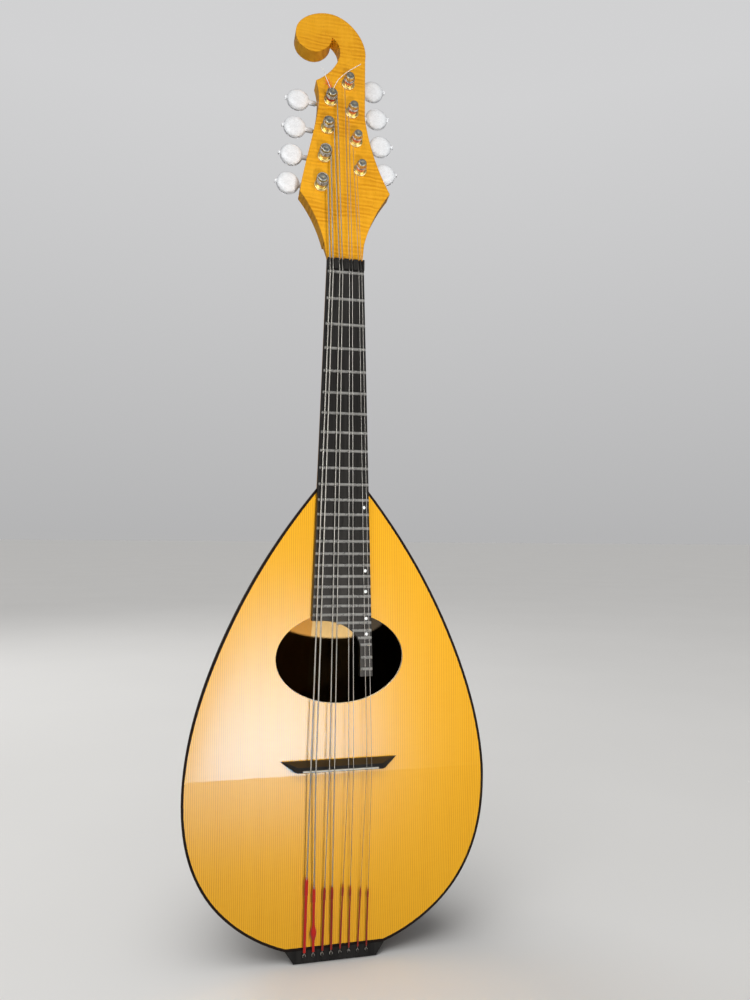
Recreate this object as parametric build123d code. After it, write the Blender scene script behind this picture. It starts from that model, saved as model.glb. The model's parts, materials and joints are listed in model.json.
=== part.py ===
from build123d import *
import math
import os

# Eight-string teardrop bowl-back mandolin with a scroll head.
# Millimetres.  +Z runs up the neck to the head, the playing face looks along -Y, +X is the
# treble side.  The parts are drawn with Y = 0 in the plane of the soundboard's upper part and
# Z = 0 at the tailpiece's flat end, then written with the origin in the middle of that flat end.

# ---------------------------------------------------------------- driving sizes
SCALE_LENGTH = 340.0
ZERO_FRET_Z = 477.0
SADDLE_Z = 134.0

JOINT_Z = 325.0
TAIL_Z = 8.5
BODY_HALF_WIDTH = 105.4
BOWL_DEPTH = 140.0
DEPTH_RATIO = BOWL_DEPTH / BODY_HALF_WIDTH
RIB_COUNT = 15
RIB_THICKNESS = 2.0
BOARD_THICKNESS = 2.5
BINDING_WIDTH = 1.8
CREASE_Z = 129.0
CANT_DEG = 4.0
NECK_BLOCK_LENGTH = 42.0
TAIL_BLOCK_LENGTH = 18.0
BRACE_CENTRES_Z = [246.0, 168.0]
BRACE_WIDTH = 5.0
BRACE_DEPTH = 11.0
LINING_WIDTH = 5.0
LINING_DEPTH = 7.0

SOUNDHOLE_Z = 208.0
SOUNDHOLE_HALF_WIDTH = 44.7
SOUNDHOLE_HALF_HEIGHT = 31.4

BOARD_HALF_WIDTH_AT_ZERO = 13.1
BOARD_TAPER = 0.0313
FINGERBOARD_THICKNESS = 5.2
FINGERBOARD_TOP_Z = 479.0
FINGERBOARD_BASS_END_Z = 234.0
CUTOUT_Z = 214.0
CUTOUT_START_X = -14.0
TONGUE_LEFT_X = 13.1
TONGUE_END_Z = 195.5

FRET_INSET = 0.3
FRET_WIDTH = 2.0
FRET_HEIGHT = 1.0
TANG_WIDTH = 0.6
TANG_DEPTH = 1.5
SLOT_CLEARANCE = 0.02
FRET_NUMBERS = list(range(1, 26)) + [27, 29]
DOT_SPACES = [12, 17, 19, 22, 24]
DOT_EDGE_DISTANCE = 3.6
DOT_RADIUS = 1.1
DOT_DEPTH = 1.0

NUT_END_Z = 486.5
NUT_HEIGHT = 6.9
NUT_SLOT_FLOOR = -4.2
NUT_SLOT_CLEARANCE = 0.3

NECK_END_Z = 487.0
HEAD_TILT_DEG = 8.0
HEAD_DROP = 0.5
HEAD_THICKNESS = 11.0
HEAD_START = 13.9
HEAD_START_HALF_WIDTH = 14.5

# Neck section depths: (Z, depth behind the fingerboard), and how square each section's back is.
NECK_SECTIONS = [(JOINT_Z, 23.9), (347.0, 17.0), (400.0, 14.4), (NECK_END_Z, 12.8)]
NECK_CURVE = 2.0
HEAD_START_CURVE = 8.0
SECTION_POINTS = 12

BRIDGE_NECK_Z = 139.0
BRIDGE_TAIL_Z = 133.0
BRIDGE_HEIGHT = 8.4
BRIDGE_HALF_LENGTH = 40.6
BRIDGE_TOP_HALF_LENGTH = 29.0
BRIDGE_FOOT_LIP = 1.6
BRIDGE_TOP_NECK_Z = 136.6
BRIDGE_TAIL_FOOT_HALF = 31.0
SADDLE_HALF_LENGTH = 26.0
SADDLE_THICKNESS = 0.9
SADDLE_TOP = 9.4
SADDLE_SLOT_DEPTH = 2.0

TAILPIECE_TOP_Y = 7.6
TAIL_CENTRE_Y = 22.0
TAILPIECE_TAPER = 5.5
PIN_RADIUS = 0.75
PIN_TOP_Y = 4.2
PIN_FOOT_Y = 12.6
PIN_Z = 5.6
PIN_PITCH = 6.2
LOOP_Y = 6.0
LOOP_SHRINK = 0.85
LOOP_LARGEST_RADIUS = 0.3

# The strings in order from the bass side, the post each winds on (the outer strings go to the
# posts nearest the nut), and where each crosses the zero fret and the saddle.
STRING_COUNT = 8
POST_OF_STRING = [0, 1, 2, 3, 7, 6, 5, 4]
STRING_RADII = [0.5, 0.5, 0.36, 0.36, 0.2, 0.2, 0.15, 0.15]
NUT_X = [-11.3, -9.2, -4.5, -2.4, 2.4, 4.5, 9.2, 11.3]
SADDLE_X = [-21.0, -17.5, -8.3, -4.8, 4.8, 8.3, 17.5, 21.0]
CONTACT_GAP = 0.02
SILK_LENGTHS = [46.0, 40.5, 41.5, 41.5, 43.5, 43.0, 42.0, 41.0]
SILK_RADII = [0.95, 0.85, 0.65, 0.65, 0.5, 0.5, 0.45, 0.45]
SILK_START = 2.0
BULGE_STRING = 1
BULGE_START = 9.0
BULGE_LENGTH = 13.0
BULGE_RADIUS = 1.9
BULGE_SINK = 0.1

POST_PITCH = 23.4
ROW_ANGLE_DEG = 6.3
BASS_FIRST_POST = (-16.3, 57.5)
TREBLE_FIRST_POST = (12.5, 72.8)
POST_RADIUS = 3.0
POST_TOP = 10.2
POST_NECK_RADIUS = 2.5
POST_NECK_START = -10.5
POST_TENON_RADIUS = 1.6
STRING_HOLE_HEIGHT = 8.0
STRING_HOLE_RADIUS = 0.8
COIL_RADIUS = 3.5
COIL_LOW = 5.2
COIL_HIGH = 7.2
RUNNING_GAP = 0.05
BUSHING_FLANGE_RADIUS = 4.9
BUSHING_FLANGE_HEIGHT = 1.3
BUSHING_RADIUS = 4.0
BUSHING_DEPTH = 7.0
POST_HOLE_RADIUS = 3.3

PLATE_THICKNESS = 1.2
PLATE_LOW = -11.0
PLATE_HIGH = 85.4
PLATE_INNER = 5.6
PLATE_OUTER = 6.4
PLATE_CORNER = 2.5
PLATE_SCREW_U = [-8.0, 13.8, 37.2, 60.6, 82.4]
SCREW_RADIUS = 1.0
SCREW_HEAD_RADIUS = 2.0
SCREW_HEAD_HEIGHT = 1.0
SCREW_LENGTH = 4.0

GEAR_TEETH = 14
GEAR_PITCH_RADIUS = 4.4
GEAR_TIP_RADIUS = 5.15
GEAR_ROOT_RADIUS = 3.4
GEAR_TIP_HALF = 0.16
GEAR_ROOT_HALF = 0.4
GEAR_THICKNESS = 2.8
GEAR_SCREW_HEAD_RADIUS = 2.4
GEAR_SCREW_HEAD_HEIGHT = 1.2
GEAR_SCREW_RADIUS = 0.85
GEAR_SCREW_HOLE_RADIUS = 0.9
GEAR_SCREW_LENGTH = 3.4
GEAR_SCREW_END_GAP = 0.4

WORM_OFFSET = 6.5
WORM_AXIS_HEIGHT = 3.2
WORM_ROOT_RADIUS = 1.25
WORM_TIP_RADIUS = 2.85
WORM_HALF_LENGTH = 4.0
WORM_CREST_DEG = 42.0
WORM_FLANK_DEG = 70.0
SHAFT_RADIUS = 1.2
SHAFT_INNER_END = 5.6
SHAFT_OUTER_END = 26.0
LUG_START = 4.2
LUG_THICKNESS = 1.0
LUG_HALF_WIDTH = 2.4
LUG_HEIGHT = 5.8

BUTTON_DISTANCE = 23.0
BUTTON_RADIUS = 8.4
BUTTON_HALF_THICKNESS = 3.3
BUTTON_RIM = [(0.7, 0.9), (0.95, 0.5), (1.0, 0.0)]
BUTTON_COLLAR_RADIUS = 1.8
BUTTON_COLLAR_END = 9.6
BUTTON_NUB_RADIUS = 1.5
BUTTON_NUB_LENGTH = 1.4

# Half outline of the body from the neck joint to the tail: (distance from centre line, Z).
BODY_OUTLINE = [
    (18.0, JOINT_Z),
    (54.8, 272.0),
    (84.3, 212.0),
    (102.1, 152.0),
    (BODY_HALF_WIDTH, 116.0),
    (100.5, 77.0),
    (86.5, 47.0),
    (62.5, 23.0),
    (35.0, TAIL_Z),
]

# Head outline on the head's front face: (X, distance up the face from the nut end).
HEAD_LOWER_BASS = [(-14.5, HEAD_START), (-17.7, 24.9), (-22.6, 36.7), (-31.6, 51.5)]
HEAD_UPPER_BASS = [(-31.6, 51.5), (-26.9, 76.0), (-19.6, 109.2), (-17.2, 130.0), (-19.1, 142.7)]
SCROLL_INSIDE = [(-19.1, 142.7), (-11.0, 149.0), (-4.0, 158.2), (-0.8, 168.0), (-6.7, 181.2)]
SCROLL_OUTSIDE = [
    (-6.7, 181.2),
    (-9.1, 173.6),
    (-20.0, 166.8),
    (-31.5, 172.5),
    (-33.2, 186.4),
    (-21.0, 198.5),
    (-4.1, 200.4),
    (11.2, 190.0),
    (18.4, 165.3),
]
HEAD_UPPER_TREBLE = [(17.2, 116.2), (22.3, 89.0), (34.7, 56.4)]
HEAD_LOWER_TREBLE = [(34.7, 56.4), (20.4, 31.3), (14.5, HEAD_START)]

# How far cutting shapes run past what they cut.
OVERRUN = 1.0
TAIL_OVERRUN = 2.0
FRONT_REACH = 20.0
SIDE_REACH = 120.0
DEPTH_REACH = 200.0

os.makedirs("parts", exist_ok=True)


# ---------------------------------------------------------------- helpers
def save(shape, name):
    """Write one sub-part, moved so that the origin is the centre of the tailpiece's flat end."""
    export_step(Pos(0, -TAIL_CENTRE_Y, 0) * shape, "parts/" + name + ".step")


def group(solids):
    """Several separate solids kept together under one name."""
    return Compound(children=list(solids))


def rod(start, end, radius):
    """Round bar between two points."""
    start = Vector(*start)
    span = Vector(*end) - start
    return Solid.make_cylinder(radius, span.length, Plane(origin=start, z_dir=span))


def block(x0, x1, y0, y1, z0, z1):
    """Box between opposite corners."""
    centre = ((x0 + x1) / 2, (y0 + y1) / 2, (z0 + z1) / 2)
    return Pos(*centre) * Box(x1 - x0, y1 - y0, z1 - z0)


def side_prism(points, x0, x1):
    """Prism across the instrument; points are (Y, Z)."""
    outline = Wire.make_polygon([Vector(x0, y, z) for y, z in points], close=True)
    return Solid.extrude(Face(outline), Vector(x1 - x0, 0, 0))


def front_prism(face, y0, y1):
    """Prism through the instrument from a face drawn in the XZ plane."""
    return extrude(Pos(0, y0, 0) * face, amount=y1 - y0, dir=(0, 1, 0))


def board_surface_y(z):
    """Y of the soundboard's outer surface, which bends back below the crease."""
    return max(0.0, (CREASE_Z - z) * math.tan(math.radians(CANT_DEG)))


def fret_z(number):
    return ZERO_FRET_Z - SCALE_LENGTH * (1 - 2 ** (-number / 12))


def fingerboard_half_width(z):
    return BOARD_HALF_WIDTH_AT_ZERO + BOARD_TAPER * (ZERO_FRET_Z - z)


def fingerboard_left(z):
    """X of the fingerboard's bass-side edge, with the curved cut-out over the soundhole."""
    if z >= FINGERBOARD_BASS_END_Z:
        return -fingerboard_half_width(z)
    if z <= CUTOUT_Z:
        return TONGUE_LEFT_X
    rise = (z - CUTOUT_Z) / (FINGERBOARD_BASS_END_Z - CUTOUT_Z)
    return CUTOUT_START_X + (TONGUE_LEFT_X - CUTOUT_START_X) * math.sqrt(1 - rise * rise)


# ---------------------------------------------------------------- body
def half_outline(inset):
    """The body's half outline moved inwards by inset."""
    moved = []
    last = len(BODY_OUTLINE) - 1
    for i, (x, z) in enumerate(BODY_OUTLINE):
        before = BODY_OUTLINE[max(i - 1, 0)]
        after = BODY_OUTLINE[min(i + 1, last)]
        along = Vector(after[0] - before[0], after[1] - before[1]).normalized()
        if i == 0:
            moved.append((x + inset / along.Y, z))
        elif i == last:
            moved.append((x - inset / 2, z + inset))
        else:
            moved.append((x + inset * along.Y, z - inset * along.X))
    return moved


def body_face(inset):
    """Whole outline of the body, as a face in the XZ plane."""
    right = [(x, 0, z) for x, z in half_outline(inset)]
    left = [(-x, y, z) for x, y, z in right]
    edges = [
        Spline(*right),
        Line(right[-1], left[-1]),
        Spline(*left),
        Line(left[0], right[0]),
    ]
    return Face(Wire(edges))


def meridian_face(outer_inset, inner_inset):
    """Slice of the bowl wall in the XZ plane, from the neck joint to the axis at the tail."""
    outer = [(x, 0, z) for x, z in half_outline(outer_inset)]
    inner = [(x, 0, z) for x, z in half_outline(inner_inset)]
    edges = [
        Spline(*outer),
        Line(outer[-1], (0, 0, outer[-1][2])),
        Line((0, 0, outer[-1][2]), (0, 0, inner[-1][2])),
        Line((0, 0, inner[-1][2]), inner[-1]),
        Spline(*inner),
        Line(inner[0], outer[0]),
    ]
    return Face(Wire(edges))


def filled_face(inset):
    """Everything inside the bowl's half outline, in the XZ plane."""
    curve = [(x, 0, z) for x, z in half_outline(inset)]
    edges = [
        Spline(*curve),
        Line(curve[-1], (0, 0, curve[-1][2])),
        Line((0, 0, curve[-1][2]), (0, 0, curve[0][2])),
        Line((0, 0, curve[0][2]), curve[0]),
    ]
    return Face(Wire(edges))


def board_band(y_top, y_bottom):
    """Layer that follows the soundboard, between two depths below its outer surface."""
    tail = -TAIL_OVERRUN
    head = JOINT_Z
    points = [
        (y_top, head),
        (y_top, CREASE_Z),
        (board_surface_y(tail) + y_top, tail),
        (board_surface_y(tail) + y_bottom, tail),
        (y_bottom, CREASE_Z),
        (y_bottom, head),
    ]
    return side_prism(points, -SIDE_REACH, SIDE_REACH)


below_board = board_band(BOARD_THICKNESS, DEPTH_REACH)
board_layer = board_band(0.0, BOARD_THICKNESS)
outer_prism = front_prism(body_face(0.0), -FRONT_REACH, DEPTH_REACH)
inset_prism = front_prism(body_face(BINDING_WIDTH), -FRONT_REACH, DEPTH_REACH)

soundhole = front_prism(
    Face(
        Wire(
            Edge.make_ellipse(
                SOUNDHOLE_HALF_WIDTH,
                SOUNDHOLE_HALF_HEIGHT,
                Plane(origin=(0, 0, SOUNDHOLE_Z), x_dir=(1, 0, 0), z_dir=(0, -1, 0)),
            )
        )
    ),
    -FRONT_REACH,
    FRONT_REACH,
)
soundboard = (board_layer & inset_prism) - soundhole
save(soundboard, "soundboard")
binding = (board_layer & outer_prism) - inset_prism
save(binding, "edge_binding")

rib_angle = 180.0 / RIB_COUNT
wall_slice = meridian_face(0.0, RIB_THICKNESS)
one_rib = revolve(wall_slice, Axis.Z, rib_angle)
ribs = []
for i in range(RIB_COUNT):
    rib = scale(Rot(0, 0, i * rib_angle) * one_rib, by=(1, DEPTH_RATIO, 1))
    ribs.extend((rib & below_board).solids())
save(group(ribs), "bowl_ribs")
print("ribs", len(ribs))

hollow = scale(revolve(filled_face(RIB_THICKNESS), Axis.Z, 180), by=(1, DEPTH_RATIO, 1))
hollow = hollow & below_board
neck_block = hollow & block(
    -SIDE_REACH, SIDE_REACH, 0, DEPTH_REACH, JOINT_Z - NECK_BLOCK_LENGTH, JOINT_Z
)
save(neck_block, "neck_block")
tail_block_top = TAIL_Z + RIB_THICKNESS + TAIL_BLOCK_LENGTH
tail_block = hollow & block(-SIDE_REACH, SIDE_REACH, 0, DEPTH_REACH, 0, tail_block_top)
save(tail_block, "tail_block")

braces = []
for z in BRACE_CENTRES_Z:
    bar = block(
        -SIDE_REACH, SIDE_REACH, BOARD_THICKNESS, BOARD_THICKNESS + BRACE_DEPTH,
        z - BRACE_WIDTH / 2, z + BRACE_WIDTH / 2,
    )
    braces.append(hollow & bar)
save(group(braces), "soundboard_braces")

lining_layer = board_band(BOARD_THICKNESS, BOARD_THICKNESS + LINING_DEPTH)
lining_face = body_face(RIB_THICKNESS + LINING_WIDTH)
lining_inside = front_prism(lining_face, -FRONT_REACH, DEPTH_REACH)
linings = (hollow & lining_layer) - lining_inside
linings = linings - neck_block - tail_block
for brace in braces:
    linings = linings - brace
save(group(linings.solids()), "linings")
print("linings", len(linings.solids()))


# ---------------------------------------------------------------- neck and head
def d_section(plane, half_width, depth, power):
    """Flat-topped neck section: a line across and a rounded back, drawn in the plane."""
    curve = []
    for i in range(SECTION_POINTS + 1):
        turn = math.pi * i / SECTION_POINTS
        across = math.copysign(abs(math.cos(turn)) ** (2 / power), math.cos(turn))
        down = abs(math.sin(turn)) ** (2 / power)
        curve.append(plane.from_local_coords(Vector(half_width * across, -depth * down, 0)))
    return Face(Wire([Spline(*curve), Line(curve[-1], curve[0])]))


head_angle = math.radians(HEAD_TILT_DEG)
head_up = Vector(0, math.sin(head_angle), math.cos(head_angle))
head_normal = Vector(0, -math.cos(head_angle), math.sin(head_angle))
head_origin = Vector(0, HEAD_DROP, NECK_END_Z)
head_plane = Plane(origin=head_origin, x_dir=(1, 0, 0), z_dir=head_normal)


def on_head(x, along, height=0.0):
    """Point given by X, distance up the head's face and height above the face."""
    return head_plane.from_local_coords(Vector(x, along, height))


def flat_section(z, half_width, depth, power):
    """Neck section square to Z; its plane's local Y points out of the playing face."""
    plane = Plane(origin=(0, 0, z), x_dir=(1, 0, 0), z_dir=(0, 0, -1))
    return d_section(plane, half_width, depth, power)


faces = [flat_section(z, fingerboard_half_width(z), depth, NECK_CURVE) for z, depth in NECK_SECTIONS]
shaft = loft(faces)
throat_plane = Plane(origin=on_head(0, HEAD_START), x_dir=(1, 0, 0), z_dir=-head_up)
throat_end = d_section(throat_plane, HEAD_START_HALF_WIDTH, HEAD_THICKNESS, HEAD_START_CURVE)
throat = loft([faces[-1], throat_end])


def head_curve(points):
    return Spline(*[on_head(x, along) for x, along in points])


head_wire = Wire(
    [
        head_curve(HEAD_LOWER_BASS),
        head_curve(HEAD_UPPER_BASS),
        head_curve(SCROLL_INSIDE),
        head_curve(SCROLL_OUTSIDE),
        Line(on_head(*SCROLL_OUTSIDE[-1]), on_head(*HEAD_UPPER_TREBLE[0])),
        head_curve(HEAD_UPPER_TREBLE),
        head_curve(HEAD_LOWER_TREBLE),
        Line(on_head(*HEAD_LOWER_TREBLE[-1]), on_head(*HEAD_LOWER_BASS[0])),
    ]
)
head = Solid.extrude(Face(head_wire), -head_normal * HEAD_THICKNESS)


class Tuner:
    """One machine: where its post stands on the head, and its local axes."""

    def __init__(self, side, number):
        first = BASS_FIRST_POST if side < 0 else TREBLE_FIRST_POST
        lean = math.radians(ROW_ANGLE_DEG)
        self.side = side
        self.up = Vector(-side * math.sin(lean), math.cos(lean))
        self.out = Vector(side * math.cos(lean), math.sin(lean))
        self.x = first[0] + self.up.X * POST_PITCH * number
        self.along = first[1] + self.up.Y * POST_PITCH * number

    def at(self, out, up, height):
        """Point given outwards from the post, up the row and above the head's face."""
        x = self.x + self.out.X * out + self.up.X * up
        along = self.along + self.out.Y * out + self.up.Y * up
        return on_head(x, along, height)

    def direction(self, out, up, height):
        return (self.at(out, up, height) - self.at(0, 0, 0)).normalized()

    def bar(self, radius, low, high, out=0.0, up=0.0):
        """Round bar square to the head's face."""
        return rod(self.at(out, up, low), self.at(out, up, high), radius)

    def box(self, out0, out1, up0, up1, low, high):
        corners = [(out0, up0), (out1, up0), (out1, up1), (out0, up1)]
        wire = Wire.make_polygon([self.at(o, u, low) for o, u in corners], close=True)
        return Solid.extrude(Face(wire), head_normal * (high - low))


tuners = [Tuner(-1, i) for i in range(4)] + [Tuner(1, i) for i in range(4)]
back = -HEAD_THICKNESS
plate_back = back - PLATE_THICKNESS

neck = shaft + throat + head
for tuner in tuners:
    neck = neck - tuner.bar(BUSHING_RADIUS, -BUSHING_DEPTH, OVERRUN)
    neck = neck - tuner.bar(POST_HOLE_RADIUS, back - OVERRUN, OVERRUN)
for row in (tuners[0], tuners[4]):
    for u in PLATE_SCREW_U:
        neck = neck - row.bar(SCREW_RADIUS, back + SCREW_LENGTH, back - OVERRUN, 0, u)
neck = neck.solids().sort_by(SortBy.VOLUME)[-1]
save(neck, "neck")
print("neck", neck.is_valid, round(neck.volume))


# ---------------------------------------------------------------- fingerboard
def board_point(x, z):
    return (x, 0, z)


top_half = fingerboard_half_width(FINGERBOARD_TOP_Z)
bass_half = fingerboard_half_width(FINGERBOARD_BASS_END_Z)
tongue_half = fingerboard_half_width(TONGUE_END_Z)
cutout = EllipticalCenterArc(
    (CUTOUT_START_X, CUTOUT_Z),
    TONGUE_LEFT_X - CUTOUT_START_X,
    FINGERBOARD_BASS_END_Z - CUTOUT_Z,
    start_angle=0,
    arc_size=90,
)
cutout = Plane.XZ * cutout
fingerboard_wire = Wire(
    [
        Line(board_point(-top_half, FINGERBOARD_TOP_Z), board_point(top_half, FINGERBOARD_TOP_Z)),
        Line(board_point(top_half, FINGERBOARD_TOP_Z), board_point(tongue_half, TONGUE_END_Z)),
        Line(board_point(tongue_half, TONGUE_END_Z), board_point(TONGUE_LEFT_X, TONGUE_END_Z)),
        Line(board_point(TONGUE_LEFT_X, TONGUE_END_Z), board_point(TONGUE_LEFT_X, CUTOUT_Z)),
        cutout,
        Line(
            board_point(CUTOUT_START_X, FINGERBOARD_BASS_END_Z),
            board_point(-bass_half, FINGERBOARD_BASS_END_Z),
        ),
        Line(
            board_point(-bass_half, FINGERBOARD_BASS_END_Z),
            board_point(-top_half, FINGERBOARD_TOP_Z),
        ),
    ]
)
fingerboard_top = -FINGERBOARD_THICKNESS
fingerboard = front_prism(Face(fingerboard_wire), fingerboard_top, 0)

def fret_blank(z, x0, x1):
    """Crowned fret wire with its tang, between two X positions."""
    crown = ThreePointArc(
        (x0, fingerboard_top, z - FRET_WIDTH / 2),
        (x0, fingerboard_top - FRET_HEIGHT, z),
        (x0, fingerboard_top, z + FRET_WIDTH / 2),
    )
    half = TANG_WIDTH / 2
    foot = fingerboard_top + TANG_DEPTH
    under = Polyline(
        (x0, fingerboard_top, z + FRET_WIDTH / 2),
        (x0, fingerboard_top, z + half),
        (x0, foot, z + half),
        (x0, foot, z - half),
        (x0, fingerboard_top, z - half),
        (x0, fingerboard_top, z - FRET_WIDTH / 2),
    )
    return Solid.extrude(Face(Wire([crown] + list(under.edges()))), Vector(x1 - x0, 0, 0))


def fret_slot(z):
    half = TANG_WIDTH / 2 + SLOT_CLEARANCE
    foot = fingerboard_top + TANG_DEPTH
    return block(-SIDE_REACH, SIDE_REACH, fingerboard_top - OVERRUN, foot, z - half, z + half)


frets = []
slots = [fret_slot(ZERO_FRET_Z)]
for number in FRET_NUMBERS:
    z = fret_z(number)
    frets.append(
        fret_blank(z, fingerboard_left(z) + FRET_INSET, fingerboard_half_width(z) - FRET_INSET)
    )
    slots.append(fret_slot(z))
zero_half = fingerboard_half_width(ZERO_FRET_Z) - FRET_INSET
zero_fret = fret_blank(ZERO_FRET_Z, -zero_half, zero_half)
fingerboard = fingerboard - slots

dots = []
for space in DOT_SPACES:
    z = (fret_z(space - 1) + fret_z(space)) / 2
    x = fingerboard_half_width(z) - DOT_EDGE_DISTANCE
    dot = rod((x, fingerboard_top, z), (x, fingerboard_top + DOT_DEPTH, z), DOT_RADIUS)
    dots.append(dot)
    fingerboard = fingerboard - dot
save(fingerboard, "fingerboard")
save(group(frets), "frets")
save(zero_fret, "zero_fret")
save(group(dots), "position_dots")
print("fingerboard", len(fingerboard.solids()), fingerboard.is_valid)

# ---------------------------------------------------------------- nut, bridge and tailpiece
nut = block(-top_half, top_half, -NUT_HEIGHT, 0, FINGERBOARD_TOP_Z, NUT_END_Z)
for x, r in zip(NUT_X, STRING_RADII):
    slot_half = r + NUT_SLOT_CLEARANCE
    nut = nut - block(
        x - slot_half, x + slot_half, -NUT_HEIGHT - OVERRUN, NUT_SLOT_FLOOR,
        FINGERBOARD_TOP_Z - OVERRUN, NUT_END_Z + OVERRUN,
    )
save(nut, "nut")

wedge = side_prism(
    [
        (0, BRIDGE_NECK_Z),
        (-BRIDGE_FOOT_LIP, BRIDGE_NECK_Z),
        (-BRIDGE_HEIGHT, BRIDGE_TOP_NECK_Z),
        (-BRIDGE_HEIGHT, BRIDGE_TAIL_Z),
        (0, BRIDGE_TAIL_Z),
    ],
    -BRIDGE_HALF_LENGTH,
    BRIDGE_HALF_LENGTH,
)
plan_points = [
    (-BRIDGE_HALF_LENGTH, 0, BRIDGE_NECK_Z),
    (BRIDGE_HALF_LENGTH, 0, BRIDGE_NECK_Z),
    (BRIDGE_TAIL_FOOT_HALF, 0, BRIDGE_TAIL_Z),
    (-BRIDGE_TAIL_FOOT_HALF, 0, BRIDGE_TAIL_Z),
]
plan_wire = Wire.make_polygon([Vector(*p) for p in plan_points], close=True)
plan = front_prism(Face(plan_wire), -FRONT_REACH, OVERRUN)
elevation_points = [
    Vector(-BRIDGE_HALF_LENGTH, 0, 0),
    Vector(BRIDGE_HALF_LENGTH, 0, 0),
    Vector(BRIDGE_TOP_HALF_LENGTH, -BRIDGE_HEIGHT, 0),
    Vector(-BRIDGE_TOP_HALF_LENGTH, -BRIDGE_HEIGHT, 0),
]
elevation = Solid.extrude(
    Face(Wire.make_polygon(elevation_points, close=True)), Vector(0, 0, BRIDGE_NECK_Z + OVERRUN)
)
saddle_half = SADDLE_THICKNESS / 2
saddle_foot = -BRIDGE_HEIGHT + SADDLE_SLOT_DEPTH
saddle = block(
    -SADDLE_HALF_LENGTH, SADDLE_HALF_LENGTH, -SADDLE_TOP, saddle_foot,
    SADDLE_Z - saddle_half, SADDLE_Z + saddle_half,
)
bridge = (wedge & plan & elevation) - saddle
save(bridge, "bridge")
save(saddle, "saddle")


def pin_x(number):
    """X of a string's pin in the tailpiece."""
    return PIN_PITCH * (number - (STRING_COUNT - 1) / 2)


def tail_section(z, inset):
    """Rounded section of the tailpiece, cut flat on the playing side."""
    half = half_outline(0)[-1][0] - inset
    plane = Plane(origin=(0, 0, z), x_dir=(1, 0, 0), z_dir=(0, 0, 1))
    oval = Face(Wire(Edge.make_ellipse(half * DEPTH_RATIO, half, plane.rotated((0, 0, 90)))))
    flat = make_face(
        Polyline(
            (-SIDE_REACH, TAILPIECE_TOP_Y, z),
            (SIDE_REACH, TAILPIECE_TOP_Y, z),
            (SIDE_REACH, DEPTH_REACH, z),
            (-SIDE_REACH, DEPTH_REACH, z),
            (-SIDE_REACH, TAILPIECE_TOP_Y, z),
        )
    )
    return (oval & flat).faces()[0]


tailpiece = loft([tail_section(TAIL_Z, 0), tail_section(0, TAILPIECE_TAPER)])
pins = []
for i in range(STRING_COUNT):
    x = pin_x(i)
    pin = rod((x, PIN_TOP_Y, PIN_Z), (x, PIN_FOOT_Y, PIN_Z), PIN_RADIUS)
    pins.append(pin)
    tailpiece = tailpiece - pin
save(tailpiece, "tailpiece")
save(group(pins), "tail_pins")
print("tailpiece", tailpiece.is_valid, round(tailpiece.volume), tailpiece.bounding_box())


# ---------------------------------------------------------------- strings
COIL_MIDDLE = (COIL_LOW + COIL_HIGH) / 2


def tangent_point(tuner, nut_x, reach):
    """Point beside the post, reach from its axis, where a line from the nut just touches."""
    start = head_plane.to_local_coords(Vector(nut_x, -NUT_HEIGHT, ZERO_FRET_Z))
    dx = start.X - tuner.x
    dy = start.Y - tuner.along
    distance = math.hypot(dx, dy)
    turn = math.atan2(dy, dx) - tuner.side * math.acos(reach / distance)
    return on_head(
        tuner.x + reach * math.cos(turn),
        tuner.along + reach * math.sin(turn),
        COIL_MIDDLE,
    )


def loop_ring(x, r):
    """The string's end loop round its pin."""
    ring_plane = Plane(origin=(x, LOOP_Y, PIN_Z), x_dir=(1, 0, 0), z_dir=(0, 1, 0))
    return Solid.make_torus(PIN_RADIUS + CONTACT_GAP + r, r, ring_plane)


def spindle(end_radius):
    """Swelling of the silk round its own middle, along Z."""
    half = BULGE_LENGTH / 2
    bow = ThreePointArc((end_radius, -half), (BULGE_RADIUS, 0), (end_radius, half))
    rest = Polyline((end_radius, half), (0, half), (0, -half), (end_radius, -half))
    return revolve(Plane.XZ * make_face([bow] + list(rest.edges())), Axis.Z, 360)


strings = []
sleeves = []
for i in range(STRING_COUNT):
    r = STRING_RADII[i]
    tuner = tuners[POST_OF_STRING[i]]
    loop_r = LOOP_SHRINK * min(r, LOOP_LARGEST_RADIUS)
    low = Vector(pin_x(i), LOOP_Y, PIN_Z + PIN_RADIUS + CONTACT_GAP + loop_r)
    over_saddle = Vector(SADDLE_X[i], -SADDLE_TOP - CONTACT_GAP - r, SADDLE_Z)
    over_zero = Vector(
        NUT_X[i], fingerboard_top - FRET_HEIGHT - CONTACT_GAP - r, ZERO_FRET_Z
    )
    high = tangent_point(tuner, NUT_X[i], COIL_RADIUS + CONTACT_GAP + r)
    path = Polyline(low, over_saddle, over_zero, high)
    first = Plane(origin=low, z_dir=over_saddle - low)
    section = first * Circle(r)
    run = sweep(section, path=path, transition=Transition.RIGHT)
    run = run.solids()[0] + loop_ring(pin_x(i), loop_r)
    strings.append(run.solids()[0])
    along = (over_saddle - low).normalized()
    start = low + along * SILK_START
    end = low + along * SILK_LENGTHS[i]
    sleeve = rod(start, end, SILK_RADII[i])
    if i == BULGE_STRING:
        centre = low + along * (BULGE_START + BULGE_LENGTH / 2)
        sleeve = sleeve + Plane(origin=centre, z_dir=along) * spindle(SILK_RADII[i] - BULGE_SINK)
    sleeve = sleeve - rod(low, over_saddle, r + CONTACT_GAP)
    sleeves.extend(sleeve.solids())

for name, first in (("g", 0), ("d", 2), ("a", 4), ("e", 6)):
    save(group(strings[first:first + 2]), "strings_" + name)
save(group(sleeves), "silk_sleeves")
print("strings", [s.is_valid for s in strings], "sleeves", len(sleeves))


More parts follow.
